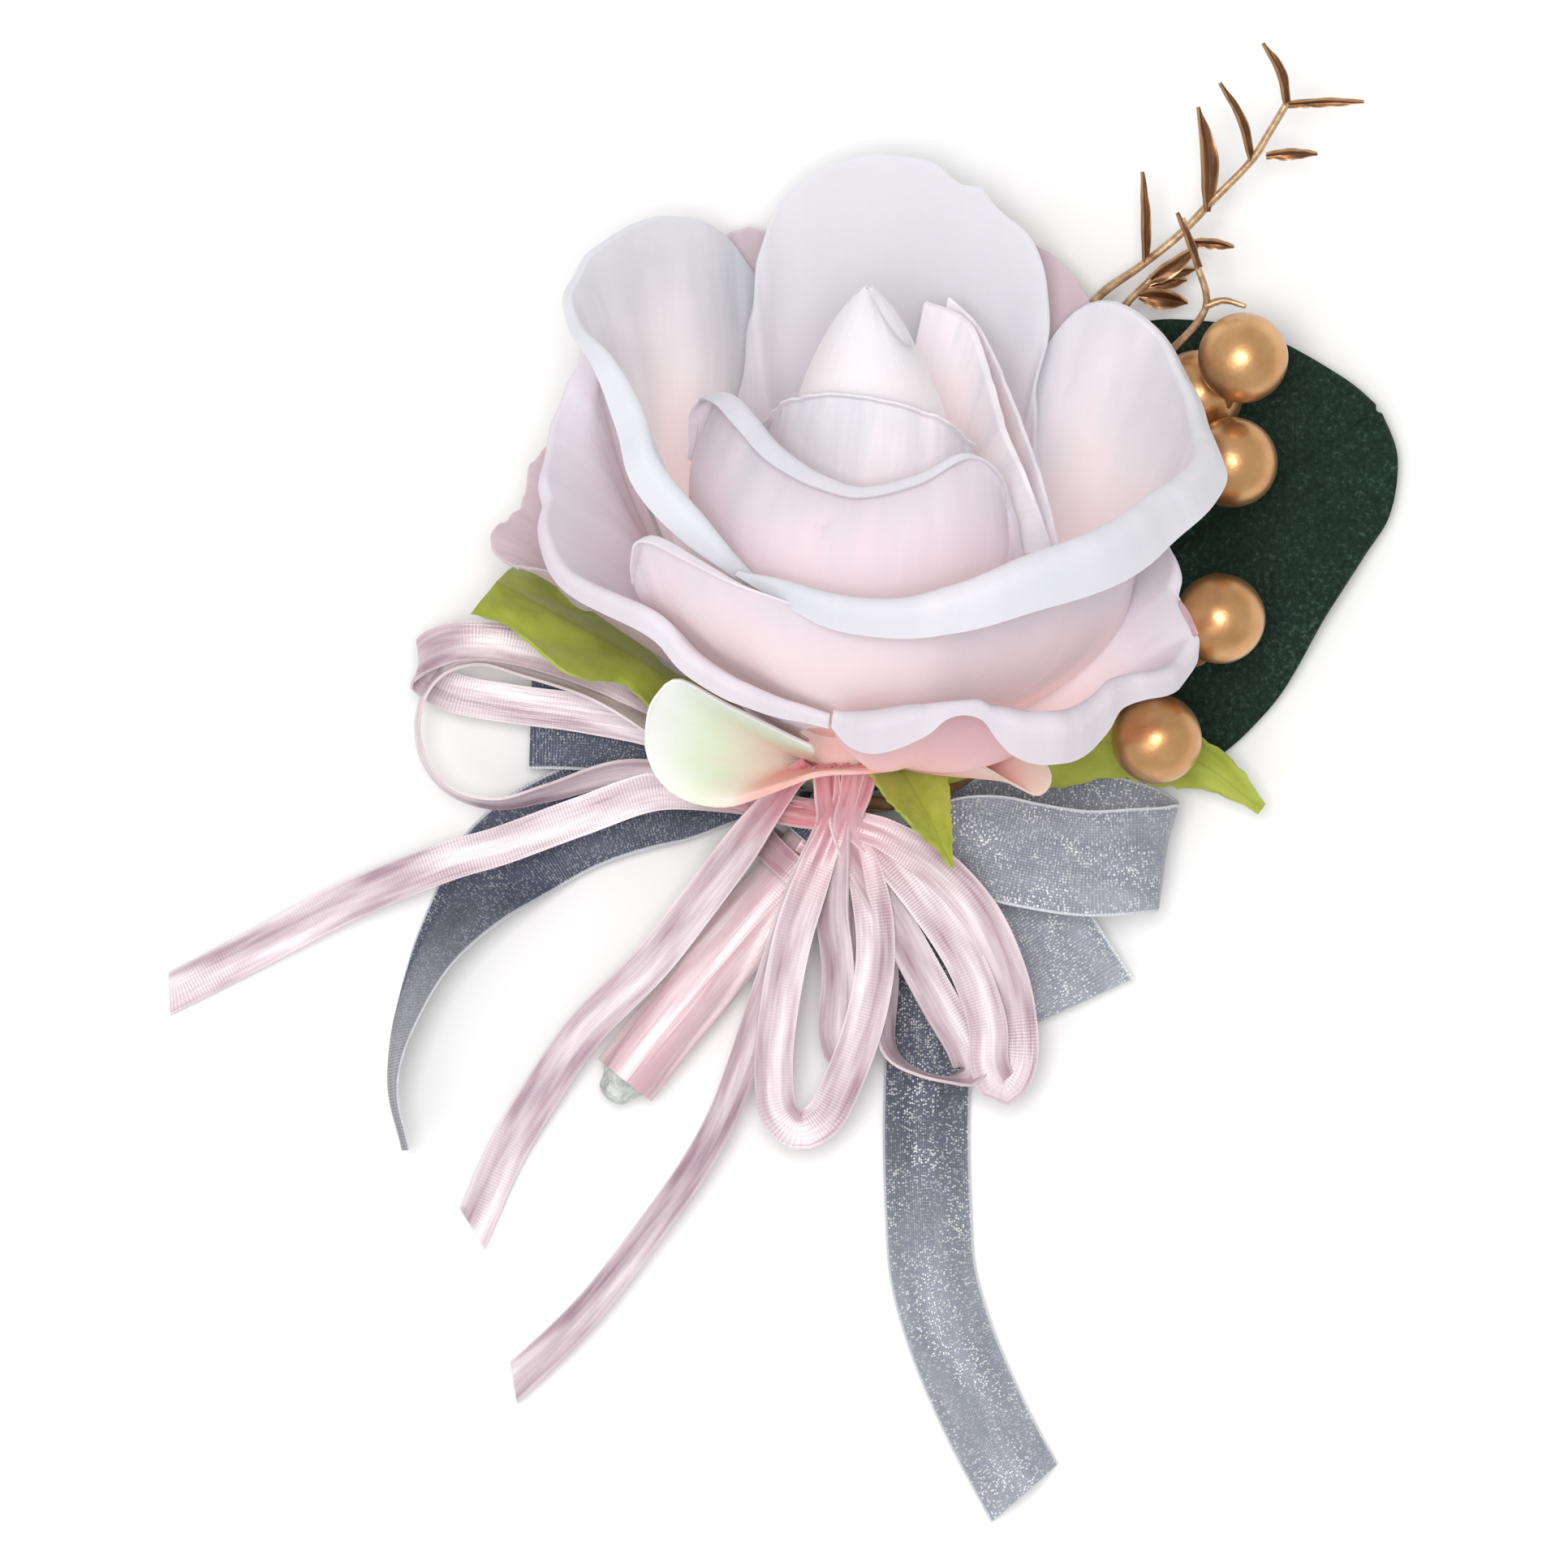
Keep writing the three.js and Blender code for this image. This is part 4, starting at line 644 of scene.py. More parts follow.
# how many waves the rim has, and the share of its spread that a petal has at its foot
RIPPLES, FOOT_SPREAD = 3, 0.62
# radius of a lip's roll and width of its flat end, for a roll of size 1, and the steps of each
LIP_ARC, LIP_FLAT, ARC_STEPS, FLAT_STEPS = 0.42, 0.78, 6, 3
# makes t ** 3 * (1 - t) ** 2 reach 1
BELLY_PEAK = 28.9


def petal_grid(seed, rim, foot, bowl, bowl_end=None, rows=40, cols=84, ripple=0.35, ruffle=0.3, folds=0.3,
               fray=1.0, belly=0.0, dent=None, roll=0.25, turn_out=85, edge=0.0, over=None, rim_over=0.0):
    """A petal from its foot to its rim, with soft folds, a frayed rim and a lip rolled outwards."""
    curve = Curve(rim)
    middle = table_to_rose(curve.at(np.array(0.5)))[0]
    s = np.linspace(0, 1, cols + 1)
    t = (1 - (1 - np.linspace(0, 1, rows + 1)) ** 1.25)[:, None]
    late = t ** 4
    angle, radius, height = table_to_rose(curve.at(s))
    turn = np.arctan2(np.sin(angle - middle), np.cos(angle - middle))
    even_radius, even_height, even_turn = [smoothed(x, 0.06) for x in (radius, height, turn)]
    r1, h1, r2, h2 = [mix(a, b, ease(s)) for a, b in zip(bowl, bowl_end or bowl)]
    b1, b2, b3 = 3 * (1 - t) ** 2 * t, 3 * (1 - t) * t ** 2, t ** 3
    nick = fray * (0.16 * waver(seed, (5, 9, 14), s) - 0.3 * np.maximum(waver(seed + 5, (7, 11), s) - 0.5, 0))

    def section(start, even, exact, near, far):
        """Radius or height over the petal, from its foot by two handles to its rim."""
        return (start + (even - start) * (b1 * near + b2 * far)
                + b3 * (mix(even, exact, late) - start) + late * nick)

    r = section(foot[0], even_radius, radius, r1, r2)
    h = section(foot[1], even_height, height, h1, h2)
    r = r + belly * np.sin(np.pi * s) * BELLY_PEAK * t ** 3 * (1 - t) ** 2
    phi = middle + mix(even_turn, turn, late) * mix(FOOT_SPREAD, 1, ease(t * 1.3))
    wave = ripple * t ** 3 * np.sin(RIPPLES * 2 * np.pi * s + foot[0])
    wave = wave + ruffle * t ** 6 * waver(seed + 1, (4, 7, 11), s)
    wave = wave + folds * np.sin(np.pi * np.minimum(t, 0.85)) * waver(seed + 2, (2.5, 5, 8), s + 0.05 * t)
    if dent is not None:
        across, up, depth = (s - dent[0]) * curve.length, t - dent[1], dent[2]
        wave = wave - depth * np.exp(-((across - 4 * up) / 0.45) ** 2 - (up / 0.06) ** 2)
    r, h = r + wave, h + wave * 0.5
    # the lip: an arc and then a flat end, along and out from the way that the petal goes at its rim
    size = np.maximum(spline(each(roll, 2), curve.param(s)), 0.2)
    way = np.stack([smoothed(r[-1] - r[-4], 0.05), smoothed(h[-1] - h[-4], 0.05)])
    way = way / np.linalg.norm(way, axis=0)
    last = np.radians(turn_out) * np.minimum(1, size / 0.7)
    arc, flat = LIP_ARC * size, LIP_FLAT * size
    x = np.linspace(0, 1, ARC_STEPS + 1)[1:, None] * last
    reach = np.linspace(0, 1, FLAT_STEPS + 1)[1:, None]
    up = np.concatenate([arc * np.sin(x), arc * np.sin(last) + flat * np.cos(last) * reach])
    out = np.concatenate([arc * (1 - np.cos(x)), arc * (1 - np.cos(last)) + flat * np.sin(last) * reach])
    back_up, back_out = mix(arc, up[-1], edge), edge * out[-1]
    r = r - (way[0] * back_up + way[1] * back_out) * late
    h = h - (way[1] * back_up - way[0] * back_out) * late
    if over is not None:
        r = r + over.push(phi, r, h) * mix(1, rim_over, ease((t - 0.8) / 0.2))
        over.lay(phi, r, h)
    r = np.concatenate([r, r[-1] + up * way[0] + out * way[1]])
    h = np.concatenate([h, h[-1] + up * way[1] - out * way[0]])
    lip = ARC_STEPS + FLAT_STEPS
    phi = np.concatenate([phi, np.repeat(phi[-1:], lip, 0)])
    t = np.concatenate([t, 1 + 0.01 * np.arange(1, lip + 1)[:, None]])
    return pressed_up(rose_to_table(phi, r, h)), s[None, :] + 0 * t, t + 0 * s[None, :]


# radius and height of the bud's outer turn from its foot to its tip, and how it is rolled
BUD = [[8.4, 25, 0], [7.5, 30.5, 0], [6.2, 36, 0], [4.5, 40.6, 0], [2.5, 44.2, 0], [0.3, 46.8, 0]]
BUD_START, BUD_TURNS, BUD_LEAN = math.radians(-8), 1.3, 1.2


def bud_grid(rows=44, cols=120):
    """The innermost petal, rolled into a pointed cone whose free edge shows on its right."""
    t = np.linspace(0, 1, rows + 1)[:, None]
    s = np.linspace(0, 1, cols + 1)[None, :]
    at = Curve(BUD).at(t[:, 0])
    r = at[:, :1] * (1.03 - 0.13 * s * BUD_TURNS) + 0.1 * np.sin(np.pi * t) * waver(9, (3, 5), s)
    h = at[:, 1:2] - 1.6 * ease(1 - s / 0.12) * t ** 2 + 0.25 * t ** 3 * waver(10, (2, 4), s)
    points = rose_to_table(BUD_START - s * BUD_TURNS * 2 * np.pi, r, h)
    points[..., 0] -= BUD_LEAN * t
    return points, s + 0 * t, t + 0 * s


def turned(profile, sides, steps=3):
    """Rings round the rose's axis, from [radius, height] points."""
    at = Curve([[r, h, 0] for r, h in profile]).at(np.linspace(0, 1, len(profile) * steps))
    return rose_to_table(ring_angles(sides), np.maximum(at[:, :1], 0.02), at[:, 1:2] + np.zeros((1, sides)))


def make_rose():
    pale = srgb(250, 240, 242)
    stuffs = {
        "rose": petal_material("petal_silk", ROSE_STOPS, srgb(250, 247, 248)),
        "blush": petal_material("petal_silk_blush", BLUSH_STOPS, pale),
        # its under side tint is painted shade: the salmon shade on the skirt's outer side under its lobes
        "skirt": petal_material("petal_silk_skirt", SKIRT_STOPS, srgb(236, 150, 152)),
        "bud": petal_material("petal_silk_bud", BUD_STOPS, pale, streak=0.15, glow=0.1),
        # petals in shade: painted shade colours and only a little painted glow
        "in_shade": petal_material("petal_silk_shaded_copy", SHADED_PETAL_STOPS, pale, glow=0.07),
        "guard_green": petal_material("petal_silk_green", GUARD_GREEN_STOPS, pale, streak=0.25, glow=0.0),
        "guard_pink": petal_material("petal_silk_rosy", GUARD_PINK_STOPS, pale, glow=0.0),
    }
    layers = Layers()
    layers.lay(*table_to_rose(turned(HEART, layers.ANGLES)))
    for seed, (name, spec) in enumerate(PETALS.items()):
        spec = dict(spec)
        if name in LAID:
            spec["over"] = layers
        if name in SMALL_PETALS:
            spec.update(rows=30, cols=60, ruffle=0.12, folds=0.14)
        stuff = stuffs[spec.pop("stuff", "rose")]
        at_rim, at_foot = spec.pop("pink")
        blush = spec.pop("blush", 0)
        points, s, t = petal_grid(seed * 17 + 3, **spec)
        pink = at_rim + (at_foot - at_rim) * np.clip(1 - t, 0, 1) ** 1.15 + 0.06 * waver(seed, (2, 5), s)
        pink = pink + blush * ease((s - 0.5) / 0.2)
        if name == "outer_front":
            # turned so that its tinted side, which carries painted shade, is the outer one
            points, s, t, pink = [x[:, ::-1] for x in (points, s, t, pink)]
        sheet("petal_" + name, points, PETAL_THICK, stuff, BLOOM, (s, t), pink=pink)
    points, s, t = bud_grid()
    sheet("petal_bud_tip", points, PETAL_THICK, stuffs["bud"], BLOOM, (s, t), pink=0.75 - 0.8 * t)
    ring_object("rose_heart", pressed_up(turned(HEART, 48)), stuffs["rose"], BLOOM, pink=0.72, under=0)


# ---- blades: sepals and leaves ----

def blade_grid(rib, side, widths, notch=0.0, teeth=0, fold=0.0, rows=44, cols=14, seed=1, fray=0.0):
    """A blade along its rib; side points across it, widths are half widths at even shares of the rib."""
    curve = Curve(rib)
    u = np.linspace(0, 1, rows + 1)[:, None]
    v = np.linspace(-1, 1, cols + 1)[None, :]
    centre, along = curve.at(u[:, 0]), curve.way(u[:, 0])
    side = np.array(side, float)
    across = unit(side - along * (along @ side)[:, None])
    normal = np.cross(along, across)
    half = np.maximum(spline(widths, u), 0.05)
    cut = notch * np.abs(v) ** 3 * np.cos(teeth * 2 * np.pi * u + v) * np.minimum(1, half / 2)
    cut = cut + fray * np.abs(v) ** 4 * waver(seed, (9, 14, 23), u + 0.3 * (v > 0)) * np.minimum(1, half)
    lift = fold * np.abs(v) * half + 0.12 * half * waver(seed + 1, (1.5, 3), u + v * 0.3) * np.abs(v)
    points = centre[:, None] + across[:, None] * (v * half + cut * np.sign(v))[..., None]
    return points + normal[:, None] * lift[..., None], v + 0 * half, u + 0 * v


# the three in view, then the two that the rose hides
SEPALS = [
    dict(rib=[[1.2, 1.9, 8.1], [-3.2, 4.2, 8.2], [-8.4, 7.9, 9.4], [-13.4, 11.2, 10.7], [-18, 13.7, 11.8],
              [-22.4, 16.1, 12.1], [-25.4, 17.8, 11.6]],
         side=[0.1, 0.55, -0.84], widths=[1.8, 2.8, 3.7, 4.3, 4.8, 5.6, 4.2], notch=1.5, teeth=3),
    dict(rib=[[8.4, 2.2, 12.4], [10.2, 1, 15.2], [11.7, -1.2, 17.4], [13.2, -4, 19.4], [14.8, -7.3, 20.9]],
         side=[0.87, 0.2, -0.45], widths=[1.6, 3.3, 2.9, 1.6, 0.2], notch=0.1, teeth=2),
    dict(rib=[[10.1, 0.9, 7.6], [14, 2.1, 7.2], [20, 3.3, 6.9], [26, 3.7, 6.3], [31.5, 3.5, 5.6],
              [36.6, 2, 5.2], [42.3, -2.2, 5.4]],
         side=[0.1, 0.97, 0.22], widths=[1.4, 2.2, 3.3, 3.7, 3, 2.2, 0.5], notch=0.4, teeth=3),
    dict(rib=[[8.2, 3.9, 4.4], [9.8, 5.9, 3.1], [11.2, 7.8, 2.5]], side=[0.8, -0.6, 0.2],
         widths=[1.6, 2.2, 0.5]),
    dict(rib=[[3, 3.9, 4.4], [1.2, 5.9, 3], [-0.4, 8, 2.2]], side=[0.8, 0.6, 0.2], widths=[1.6, 2.2, 0.5]),
]
# radius and height of the calyx cup's outer face and then its inner one
CUP_PROFILE = [[0.9, -2.15], [3.3, -2.1], [4.9, -1], [5.5, 0.1],
               [5, 0.15], [4.2, -0.8], [3.9, -1.1], [0.9, -1.15]]


def sepal_material():
    n = Material("sepal_silk", {"Roughness": 0.66, "Sheen Weight": 0.2, "Subsurface Weight": 0.1,
                                "Subsurface Scale": 0.001})
    drift, creases = n.noise(n.place(), 160, 4, 0.6), n.noise(n.uv(2.4, 9), detail=4)
    value = n.plus(n.times(drift, 0.6), n.times(creases, 0.4))
    colour = n.ramp(value, stops((0.3, 132, 144, 34), (0.5, 164, 178, 58), (0.72, 184, 198, 84)))
    vein = n.ramp(n.math("ABSOLUTE", n.attribute("across")), [(0.0, 0.55), (0.07, 0.1), (1, 0)])
    n.into("Base Color", n.blend(vein, colour, lit(130, 140, 46)))
    n.relief(value, 0.35, 0.0005)
    return n.made


def make_calyx():
    silk = sepal_material()
    for k, spec in enumerate(SEPALS):
        points, v, u = blade_grid(**spec, seed=30 + k, fray=0.22, fold=0.18)
        sheet(f"sepal_{k}", points, SEPAL_THICK, silk, CALYX, (v, u), across=v)
    ring_object("calyx_cup", turned(CUP_PROFILE, 40, steps=4), silk, CALYX, across=0.5, under=0)


# ---- stem ----

STEM = Curve(STEM_PATH)
# the shares of the stem's length that the rose's wire, the taped bundle and the satin wrap cover
WIRE_SPAN, BUNDLE_SPAN, WRAP_SPAN = (0.02, 0.2), (0.0, 0.992), (0.09, 0.955)
# length of satin once round the wrap, how far its turns wind along it, and how many edges show round it
WRAP_ROUND_MM, WRAP_TURNS, WRAP_EDGES = 21.0, 0.7, 3


def stretch(start, end, count=12):
    return Curve(STEM.at(np.linspace(start, end, count)).tolist())


def taped(u, angle):
    turns = (u * 9 + angle / (2 * np.pi)) % 1
    lumps = 0.1 * np.cos(3 * angle + u * 5) + 0.07 * np.cos(5 * angle - u * 9)
    tip = 1 - 0.3 * ease((u - 0.955) / 0.045)
    return (BUNDLE_RADIUS - 0.12 + 0.14 * turns + lumps) * tip


def wound(u, angle):
    turns = (u * WRAP_TURNS + angle / (2 * np.pi) * WRAP_EDGES + 0.05 * np.sin(u * 12)) % 1
    step = 0.42 * turns ** 1.6 - 0.3 * ease(turns / 0.08)
    flat = 0.16 * np.cos(2 * angle + 1.0) + 0.06 * np.cos(5 * angle + u * 11)
    return WRAP_RADIUS - 0.3 + step + flat


def make_stem():
    plastic = simple_material("stem_plastic", srgb(92, 112, 60), srgb(120, 140, 84), 300, 0.5)
    top = rose_to_table(np.array(0.0), np.array(0.0), np.array(-1.1)).tolist()
    wire = Curve([top] + STEM.at(np.linspace(*WIRE_SPAN, 4)).tolist())
    tube("rose_wire", wire, WIRE_RADIUS, plastic, WIRE, 16, 16)

    tape = simple_material("floral_tape", srgb(150, 160, 158), srgb(222, 226, 222), 420, 0.62, 0.6, 0.0006)
    tube("taped_bundle", stretch(*BUNDLE_SPAN), taped, tape, BUNDLE, 190, 44)

    # the shaded and the lit tone are painted shade and painted highlight; the gather colour, painted shade,
    # is not shown on the wrap
    satin = ribbon_material("wrap_satin", lit(214, 176, 185), lit(250, 230, 234), lit(214, 150, 156))
    wrap = stretch(*WRAP_SPAN)
    outside = tube_points(wrap, wound, 150, 96, rounded=False)
    outside[..., 2] = np.maximum(outside[..., 2], WRAP_LOW)
    inside = tube_points(wrap, BUNDLE_RADIUS + 0.3, 150, 96, rounded=False)
    ring_object("satin_wrap", np.concatenate([inside[:1], outside, inside[-1:]]), satin, WRAP,
                (WRAP_ROUND_MM, wrap.length), wrapped=True, sharp=70, root=0, edge=0, under=0)


# ---- ribbons ----

# the place under the rose where the strands with a lead come together
GATHER_Y, GATHER_Z = 1.6, 15.4
# the share of a strand over which it opens out from a gathered end
OPENING = 0.22


def lead_in(at, x):
    """Two places that take a strand from the gathers under the rose to one of its ends."""
    return [[mix(at[0], x, k), mix(at[1], GATHER_Y, k), mix(at[2], GATHER_Z, k ** 0.6)] for k in (1, 0.5)]


def strand_grid(path, width, tilt=0, side=None, gather=(0.5, 1), arch=0.0, skew=0.0, seed=0, cols=12,
                per_mm=1.6, bow=0.12, lead=()):
    """A ribbon along its path, narrower and pleated at gathered ends. It lies flat, turned by tilt degrees,
    or else across the direction side; skew slants its cut end, lead holds where its ends are gathered."""
    tilt = each(tilt, len(path))
    if len(lead) > 0:
        path, tilt = lead_in(path[0], lead[0]) + path, [0, 0] + tilt
    if len(lead) > 1:
        path, tilt = path + lead_in(path[-1], lead[1])[::-1], tilt + [0, 0]
    curve = Curve(path)
    rows = int(curve.length * per_mm)
    u = np.linspace(0, 1, rows + 1)[:, None]
    v = np.linspace(-1, 1, cols + 1)[None, :]
    centre, along = curve.at(u[:, 0]), curve.way(u[:, 0])
    if side is not None:
        side = np.array(side, float)
        across = unit(side - along * (along @ side)[:, None])
    else:
        flat = unit(np.cross([0, 0, 1], along))
        turn = np.radians(spline(tilt, curve.param(u)))
        across = flat * np.cos(turn) + np.cross(along, flat) * np.sin(turn)
    normal = np.cross(along, across)
    opened = mix(gather[0], 1, ease(u / OPENING)) * mix(gather[1], 1, ease((1 - u) / OPENING))
    half = width / 2 * opened
    pinch = 1 - opened
    lift = (arch * ease(u * 4) * np.cos(v * np.pi / 2) + bow * (1 - v ** 2) * waver(seed, (1.2, 2.3), u)
            + 0.12 * waver(seed + 1, (3, 5), u) + 0.5 * pinch * np.cos(v * np.pi * 1.5 + seed))
    narrowed = math.sqrt(1 - 0.4 * min(1, arch / 3))
    slant = skew * v * ease((u - 1 + 3 / rows) * rows / 3)
    points = (centre[:, None] + across[:, None] * (v * half * narrowed)[..., None]
              + normal[:, None] * lift[..., None] + along[:, None] * slant[..., None])
    points[..., 2] = np.maximum(points[..., 2], RIBBON_LOW)
    return points, v * half, u * curve.length + 0 * v, np.abs(v) + 0 * half, pinch + 0 * v


SATIN_STRANDS = {
    "tail_left": dict(
        path=[[3.8, -2.9, 10.9], [0, -2.3, 10], [-4.5, -1.1, 9], [-11, -0.6, 8], [-18.1, -2.9, 7],
              [-25.2, -5.5, 6.2], [-29.6, -6.8, 5.6], [-38.6, -10.4, 3.6], [-47.4, -15, 1.8],
              [-54.4, -18.6, 0.75]],
        skew=0.8),
    "tail_middle": dict(
        path=[[2.2, 1.6, 15.2], [0.9, 0.6, 14.4], [-0.4, -1, 13.4], [-2.3, -3.4, 12.2], [-4.8, -6.8, 10.8],
              [-7.8, -10.8, 9], [-11.9, -16, 6.8], [-17.6, -21.8, 4.7], [-21.5, -27.4, 2.7],
              [-24.7, -32.8, 1.6], [-27.6, -39.4, 0.75]],
        skew=1.2),
    "tail_under": dict(
        path=[[4, -3.6, 11.2], [2.6, -7.5, 10.4], [0.4, -13.5, 8.8], [-1.5, -19, 6.8], [-3.3, -24.1, 5.1],
              [-5.6, -29.6, 4.2], [-8.6, -35, 3.4], [-12.6, -40.5, 2.7], [-17, -46.2, 2.1],
              [-23.9, -53, 1.5]],
        tilt=[0, 10, 20, 30, 40, 44, 44, 44, 40, 30], skew=1.0, lead=(3.4,)),
    "loop_upper_left": dict(
        path=[[3.4, -2.4, 11.4], [0, -1.8, 9.6], [-3.4, 0.6, 7.6], [-8, 4.5, 6.5], [-13, 8.4, 7.2],
              [-21.4, 11.7, 8.8], [-26, 12.6, 9.1], [-29.4, 12.5, 8.6], [-31.8, 11.3, 7.2], [-32, 9.9, 5.8],
              [-29.8, 8.3, 4.9], [-24, 7.1, 4.6], [-17.5, 6.2, 5], [-10, 4.4, 5.4], [-4, 0.4, 7],
              [0.2, -2.2, 9.2], [3.4, -2.9, 11.2]],
        side=[0.12, 0.97, 0.1], gather=(0.5, 0.5)),
    "loop_round_left": dict(
        path=[[3.6, -2.6, 11.2], [-0.6, -1.9, 9.9], [-5, 0.8, 8.4], [-11, 4.8, 7.6], [-16.7, 7.9, 7.6],
              [-22.9, 10, 7.8], [-26.9, 10.9, 7.9], [-30, 10, 8], [-31.7, 8, 7.9], [-32.4, 4.8, 7.6],
              [-31.6, 1.7, 7.2], [-29.5, -0.6, 7], [-25.7, -1.7, 7], [-21, -0.8, 7.2], [-14, 0.9, 7.8],
              [-6, -0.3, 9], [0, -2.6, 10.3], [3.6, -3.2, 11.2]],
        tilt=[0, 20, 50, 60, 70, 75, 80, 82, 84, 84, 82, 80, 76, 66, 50, 30, 10, 0],
        gather=(0.5, 0.5)),
    "loop_front": dict(
        path=[[4.4, -3.2, 11.6], [2.8, -7.5, 11.3], [0.9, -13.1, 10.3], [-0.5, -20.3, 8.8],
              [-0.9, -26, 7.7], [-0.3, -29.2, 7.2], [1.4, -30.6, 7], [3.4, -29.6, 7.1], [5, -26.8, 7.4],
              [7.4, -19.9, 8.6], [8.1, -13.9, 9.8], [7.1, -7.8, 10.8], [5.2, -3.2, 11.6]],
        gather=(0.45, 0.5), lead=(4, 5.4)),
    "loop_narrow": dict(
        path=[[4.6, -3.2, 11.2], [4.4, -7.2, 10.8], [4.3, -11.5, 9.4], [4.8, -16.7, 7.8], [4.6, -22.4, 6.5],
              [5.4, -24.2, 6.2], [6.5, -22.6, 6.4], [7, -16, 7.6], [7, -10, 9.2], [6.4, -6.8, 10.4],
              [5.2, -3.4, 11.2]],
        tilt=35, gather=(0.5, 0.5), lead=(4.8, 6)),
    "loop_right": dict(
        path=[[5, -3.2, 11.4], [6.4, -6, 10.9], [8.1, -9, 10.2], [10.8, -13.9, 9], [14.1, -19.9, 7.8],
              [16.2, -23.6, 7.1], [16.6, -25.4, 6.8], [15, -26.1, 6.6], [12, -25.5, 6.4], [9.4, -23.6, 6.3],
              [8.9, -17, 6.9], [8, -9.4, 9.2], [6.6, -6, 10.8], [5.6, -3.8, 11.4]],
        tilt=[0, -10, -20, -20, -10, 0, 40, 80, 84, 70, 50, 30, 15, 0], gather=(0.5, 0.5), lead=(6.4, 6)),
    "loop_far_right": dict(
        path=[[5.6, -3.2, 11.4], [7.8, -4.9, 11], [10.3, -7.6, 10.5], [13, -11, 10], [16.2, -16.1, 9.2],
              [18, -21.3, 8.3], [18.2, -25, 7.7], [19.3, -26.8, 7.3], [20.6, -24.8, 7.1],
              [20.5, -19.9, 7.5], [19.3, -15.5, 8.9], [17.2, -11.3, 10.2], [13.6, -7.4, 10.8],
              [9, -4.5, 11.2], [6, -3.2, 11.4]],
        gather=(0.5, 0.5), lead=(7.2, 7.6)),
}

ORGANZA_STRANDS = {
    "loop_right": dict(
        path=[[8.1, -6.2, 7.2], [10, -5.9, 7.6], [12.4, -5.4, 8.2], [15.7, -4.9, 8.6], [21.2, -6.2, 9.2],
              [26.6, -7, 9.2], [31, -6.8, 8.5], [33.4, -6.6, 6.8], [33.7, -6.2, 5], [32.3, -5.2, 3.5],
              [28.9, -4, 2.8], [23.9, -3.6, 2.6], [18.4, -3.8, 2.6], [12, -5.4, 2.9], [8.1, -6.3, 3.8]],
        side=[0.14, 0.98, 0.05], gather=(0.35, 0.35)),
    "tail_short": dict(
        path=[[8, -6.3, 5.3], [10.4, -6.8, 5.7], [13.4, -6.8, 5.9], [17, -7.2, 5.5], [20.4, -9.8, 4.7],
              [23.6, -14.6, 3.6], [26.6, -19.2, 2.5]],
        gather=(0.35, 1), skew=0.7),
    "tail_long": dict(
        path=[[6.6, -6.2, 2.6], [9, -7.6, 2.2], [11, -10, 1.7], [12.4, -14, 1.2], [12.8, -19.9, 0.8],
              [12.6, -31, 0.7], [12.8, -38.1, 0.7], [13.2, -43.4, 0.7], [14.9, -49.4, 0.7],
              [18, -56.6, 0.7], [21.3, -62.8, 0.7]],
        arch=2.6, gather=(0.4, 1), skew=-0.9, gloom=0.9),
    "tail_left": dict(
        path=[[1.2, -2.1, 2.4], [-3, -0.4, 2.2], [-9.9, -0.6, 2.2], [-15.6, -2, 2.1], [-20.1, -3.9, 2],
              [-24.4, -6.8, 2.1], [-28, -10.8, 2.8], [-31.4, -16, 4], [-33.9, -22.1, 4.9],
              [-34.5, -27, 5.2], [-33.5, -32.4, 5.2]],
        tilt=[0, 0, 0, 0, 0, 18, 48, 68, 79, 84, 85], gather=(0.4, 0.8), stuff="dark"),
    "loop_small": dict(
        path=[[0.8, -2, 4.6], [-3, 0.6, 4.1], [-9, 3.6, 3.7], [-15, 5.6, 3.5], [-20, 6, 3.3],
              [-22.5, 6, 2.5], [-21.4, 6, 1.4], [-16, 5.2, 1.1], [-9, 2.8, 1.2], [-3, 0.2, 1.6],
              [1.5, -2.3, 2.5]],
        side=[0.1, 0.99, 0], gather=(0.35, 0.35), stuff="dark"),
}

# a short stretch of ribbon over the front of the knot, and the pinched turn that holds the loops together
SATIN_TURN = [[2.4, -6.8, 8.5], [3.2, -5.6, 8.8], [4.1, -4.3, 9.3], [4.9, -3.1, 9.8]]
SATIN_KNOT = [[2.6, -2.9, 10.4], [3.4, -2.8, 10.5], [4.6, -2.8, 10.6], [5.8, -2.8, 10.5], [6.6, -2.9, 10.4]]


def tie_band(name, share, width, material, part):
    """Ribbon tied round the wrapped stem."""
    reach, steps, sides, round_mm = width / 2 / STEM.length, 10, 48, 27
    curve = stretch(share - reach, share + reach, 3)
    outer = tube_points(curve, TIE_RADIUS, steps, sides, rounded=False)
    inner = tube_points(curve, TIE_RADIUS - TIE_DEPTH, steps, sides, rounded=False)
    verts = np.concatenate([outer, inner[::-1]]).reshape(-1, 3)
    verts[:, 2] = np.maximum(verts[:, 2], WRAP_LOW)
    faces = ring_quads(2 * steps + 3, sides) % len(verts)
    across = np.abs(np.linspace(-1, 1, steps + 1))
    edge, around = [x.ravel() for x in np.meshgrid(np.tile(across, 2), np.linspace(0, round_mm, sides),
                                                   indexing="ij")]
    # root 0.15: a little of the gathers' painted shade on the tie
    make_object(name, verts, outward(verts, faces.tolist()), material, part,
                np.stack([edge * width / 2, around], 1), edge=edge, root=0.15, under=0)


def gathered(u, angle):
    """Radius of the satin knot."""
    rounded = np.sqrt(np.clip(1 - (2 * u - 1) ** 2 * 0.86, 0.05, 1))
    return 0.85 * (1.5 + 0.12 * np.cos(7 * angle + 3 * u)) * rounded


